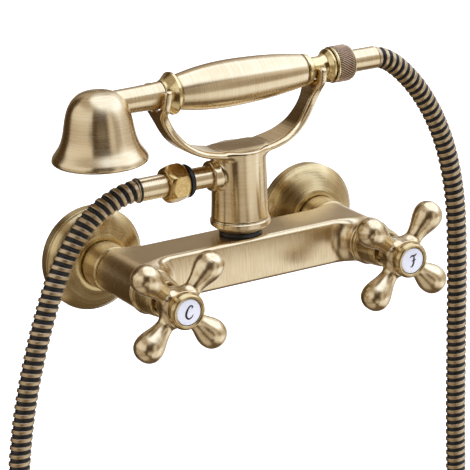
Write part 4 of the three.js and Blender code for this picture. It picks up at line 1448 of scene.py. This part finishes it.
@dataclass
class HandShower:
    """The bell, neck, grip and hose tail that lie in the cradle."""

    finishes: Finishes
    bell_x: float = -90.0
    knurl_ridges: int = 46

    def dress(self, piece: Piece, material: Material, slot: str, *nodes: str) -> Piece:
        """Dresses a piece of the hand shower and returns it."""
        finish_piece(piece, material, "handset", slot, *nodes)
        return piece

    def bell(self) -> None:
        """Turns the bell: a high dome, a waist and a flared lip with a rolled edge."""
        at = centre_of("shower_bell")
        outside = flowing(
            [(27.6, 75.0), (27.2, 76.6), (25.6, 79.0), (23.3, 82.4), (21.6, 86.5), (20.4, 91.4),
             (19.4, 97.0), (18.2, 102), (16.6, 106), (14.2, 109.5), (10.7, 112.3), (6, 113.8), (0, 114.2)],
            1.2,
        )
        inside = flowing(
            [(0, 111.8), (8, 110.8), (12.6, 107.8), (15.8, 101.4), (17.6, 94), (19.2, 86), (22.4, 78.8),
             (24.8, 76.6)], 2.0
        )
        lip = [(24.8, 73.9), (25.4, 73.3), (26.4, 73.2), (27.2, 73.8), (27.6, 74.4)]
        outline = np.vstack([inside, lip, outside])
        foot = (self.bell_x, at.y, 0)
        bell = turned("shower_bell_shell", outline, Axis.Z, foot, closed=False, sides=128)
        self.dress(bell, self.finishes.turned_z, "brushed_brass", "shower_bell")

    def spray_face(self) -> None:
        """Makes the spray plate with its rings of nozzles, its seal and its screw."""
        at = centre_of("spray_plate")
        outline = rounded([(0, 76.2, 0), (23.2, 76.2, 0.2), (23.2, 74.6, 0.5), (18, 74.0, 3),
                           (8, 73.7, 3), (0, 73.6, 0)], False)
        plate = turned("spray_plate_disc", outline, Axis.Z, (at.x, at.y, 0), closed=False)
        self.dress(plate, self.finishes.turned_z, "brushed_brass", "spray_plate")
        tip = np.array([(0, 74.6), (0.95, 74.6), (0.95, 73.3), (0.7, 73.0), (0.42, 73.0), (0.42, 73.6),
                        (0, 73.6)])
        nozzle = turned("spray_nozzles", tip, Axis.Z, (0, 0, 0), closed=False, sides=10)
        tree, given = node_tree("rings_of_nozzles", {"First Radius": 1.0, "Ring Step": 1.0})
        joined = add_node(tree, "GeometryNodeJoinGeometry")
        for ring in range(4):
            radius = calculate(tree, "MULTIPLY_ADD", given["Ring Step"], float(ring), given["First Radius"])
            circle = add_node(tree, "GeometryNodeMeshCircle", {"Vertices": 8 + 6 * ring, "Radius": radius})
            copies = {"Points": circle.outputs[0], "Instance": given["Geometry"]}
            placed = add_node(tree, "GeometryNodeInstanceOnPoints", copies)
            tree.links.new(placed.outputs[0], joined.inputs[0])
        shift = {"Geometry": joined.outputs[0], "Translation": (at.x * MM, at.y * MM, 0)}
        moved = add_node(tree, "GeometryNodeTransform", shift)
        real = add_node(tree, "GeometryNodeRealizeInstances", {0: moved.outputs[0]})
        dressed = add_node(
            tree, "GeometryNodeSetMaterial", {"Geometry": real.outputs[0], "Material": self.finishes.rubber}
        )
        add_node(tree, "NodeGroupOutput", {0: dressed.outputs[0]})
        grown(nozzle, tree, {"First Radius": 6.5 * MM, "Ring Step": 4.6 * MM})
        self.dress(nozzle, self.finishes.rubber, "black_rubber")
        dress_node("spray_plate_seal", self.finishes.rubber)
        dress_node("spray_screw", self.finishes.steel)

    def stem(self) -> None:
        """Turns neck, collars, grip and tail along the hand shower's axis."""
        at = centre_of("grip")
        centre = (0.0, at.y, at.z)
        neck = rounded(
            [(5, -84, 0.1), (7.2, -84, 0.1), (7.3, -70, 5), (7.6, -58, 5), (8.0, -50.3, 0.2),
             (5, -50.3, 0.1)], True
        )
        piece = turned("neck_tube", neck, Axis.X, centre)
        self.dress(piece, self.finishes.turned_x, "brushed_brass", "shower_neck")
        flare = flowing([(8.2, -49.9), (9.0, -48.2), (10.4, -46.2), (11.9, -44.4)], 0.5)
        rim = rounded([(11.9, -44.4, 0.1), (12.4, -43.9, 0.3), (12.4, -42.4, 0.5), (11.2, -41.7, 0.3),
                       (10.0, -41.2, 0.2), (6.5, -41.2, 0.1), (6.5, -49.9, 0.1), (8.2, -49.9, 0.1)], False)
        piece = turned("collar_front", np.vstack([flare, rim[1:-1]]), Axis.X, centre)
        self.dress(piece, self.finishes.polished, "polished_brass", "front_collar")
        barrel = flowing(
            [(9.9, -40.9), (11.2, -34), (12.5, -26), (13.5, -15), (13.8, -5), (13.6, 5), (13, 17),
             (12, 28), (10.8, 37), (9.7, 44.1)],
            1.5,
        )
        outline = np.vstack([barrel, [(9.4, 44.3), (6.5, 44.3), (6.5, -40.9), (9.6, -40.9)]])
        piece = turned("grip_barrel", outline, Axis.X, centre, sides=128)
        self.dress(piece, self.finishes.turned_x, "brushed_brass", "grip")
        ring = rounded(
            [(6.5, 45.3, 0.1), (9.2, 45.3, 0.3), (9.5, 46.1, 0.4), (9.2, 47.2, 0.5), (8.9, 48.6, 1.0),
             (7.6, 50.0, 0.6), (6.5, 50.2, 0.1)],
            True,
        )
        piece = turned("collar_rear", ring, Axis.X, centre)
        self.dress(piece, self.finishes.polished, "polished_brass", "rear_collar")
        tail = rounded(
            [(4.4, 50.5, 0.1), (6.6, 50.5, 0.2), (6.5, 57.0, 4.0), (7.4, 59.6, 2.0), (10.0, 62.0, 0.6),
             (10.2, 63.2, 0.4), (7.7, 63.4, 0.1), (7.7, 70.8, 0.1), (4.4, 70.8, 0.1)],
            True,
        )
        piece = turned("tail_thread", tail, Axis.X, centre)
        self.dress(piece, self.finishes.polished, "brushed_brass", "shower_tail")
        dress_node("water_tube", self.finishes.yellow)

    def hose_end(self) -> list[Piece]:
        """Makes the knurled nut and the upper ferrule.

        Returns:
            The pieces that belong to the hose.
        """
        at = centre_of("grip")
        centre = (0.0, at.y, at.z)
        outline = rounded(
            [(8.0, 64.2, 0.1), (10.4, 64.2, 0.3), (10.9, 64.8, 0.4), (10.6, 65.8, 0.3), (10.0, 66.2, 0.1),
             (10.0, 76.2, 0.1), (10.4, 76.5, 0.3), (10.1, 77.1, 0.4), (8.9, 77.5, 0.4), (7.1, 77.6, 0.1),
             (7.1, 75.8, 0.1), (8.0, 75.4, 0.1)],
            True,
        )
        nut = turned("nut_barrel", outline, Axis.X, centre)
        self.dress(nut, self.finishes.polished, "polished_brass", "knurled_nut")
        knurl = self.knurl(centre)
        seat = rounded([(9.9, 66.1, 0.1), (10.3, 66.1, 0.1), (10.3, 76.3, 0.1), (9.9, 76.3, 0.1)], True)
        valley = turned("nut_knurl_seat", seat, Axis.X, centre)
        self.dress(valley, self.finishes.patina, "dark_brass")
        sleeve = ferrule("ferrule_upper", centre, 72.9, 96.0)
        self.dress(sleeve, self.finishes.turned_x, "polished_brass", "upper_ferrule")
        dress_node("upper_hose_seal", self.finishes.rubber)
        return [nut, knurl, valley, sleeve]

    def knurl(self, centre: Point3) -> Piece:
        """Cuts the slanted knurl: ridges that each turn a little as they run along the nut."""
        start, end, radius, lean = 66.2, 76.2, 10.25, 0.6
        steps = 10
        along = np.linspace(start, end, steps + 1)
        angle = np.linspace(0, lean, steps + 1)
        half = math.pi / self.knurl_ridges
        height = np.minimum(1, np.minimum(along - start, end - along) / 0.5 + 0.15) * 0.7
        rows = []
        for offset, rise in ((-half * 0.75, 0), (-half * 0.4, 1), (half * 0.4, 1), (half * 0.75, 0)):
            r = radius + rise * height
            rows.append(np.stack([along, r * np.cos(angle + offset), r * np.sin(angle + offset)], 1))
        points = np.vstack(rows)
        faces = []
        for row in range(3):
            for k in range(steps):
                a = row * (steps + 1) + k
                faces.append((a, a + 1, a + steps + 2, a + steps + 1))
        ridge = new_mesh("nut_knurl", points, np.array(faces))
        tree, given = node_tree("slanted_knurl", {"Ridges": 1})
        ring = add_node(tree, "GeometryNodeMeshLine", {"Count": given["Ridges"], "Offset": (0, 0, 0)})
        number = add_node(tree, "GeometryNodeInputIndex").outputs[0]
        turn = calculate(tree, "DIVIDE", calculate(tree, "MULTIPLY", number, math.tau), given["Ridges"])
        rotation = add_node(tree, "ShaderNodeCombineXYZ", {0: turn}).outputs[0]
        placed = add_node(
            tree,
            "GeometryNodeInstanceOnPoints",
            {"Points": ring.outputs[0], "Instance": given["Geometry"], "Rotation": rotation},
        )
        moved = add_node(
            tree, "GeometryNodeTransform", {"Geometry": placed.outputs[0], "Translation": Vector(centre) * MM}
        )
        real = add_node(tree, "GeometryNodeRealizeInstances", {0: moved.outputs[0]})
        dressed = add_node(
            tree, "GeometryNodeSetMaterial", {"Geometry": real.outputs[0], "Material": self.finishes.bronzed}
        )
        add_node(tree, "NodeGroupOutput", {0: dressed.outputs[0]})
        grown(ridge, tree, {"Ridges": self.knurl_ridges})
        return self.dress(ridge, self.finishes.bronzed, "dark_brass")

    def build(self) -> list[Piece]:
        """Builds the hand shower.

        Returns:
            The pieces that belong to the hose.
        """
        self.bell()
        self.spray_face()
        self.stem()
        return self.hose_end()


# ---------------------------------------------------------------- everything in order


def main() -> None:
    """Builds the scene: studio and hose first, then the pieces from the wall outwards."""
    logging.basicConfig(level=logging.INFO, format="%(name)s %(message)s")
    Studio().build()
    finishes = Finishes()
    hose = ShowerHose()
    winding = hose.build(finishes)
    WallBody(finishes).build()
    CrossHandle(finishes, "left", "hot_handle", 0.0, Mark.HOT).build()
    CrossHandle(finishes, "right", "cold_handle", 0.07, Mark.COLD).build()
    lower_end = Cradle(finishes).build()
    upper_end = HandShower(finishes).build()
    hose.declare(winding)


if __name__ == "__main__":
    main()
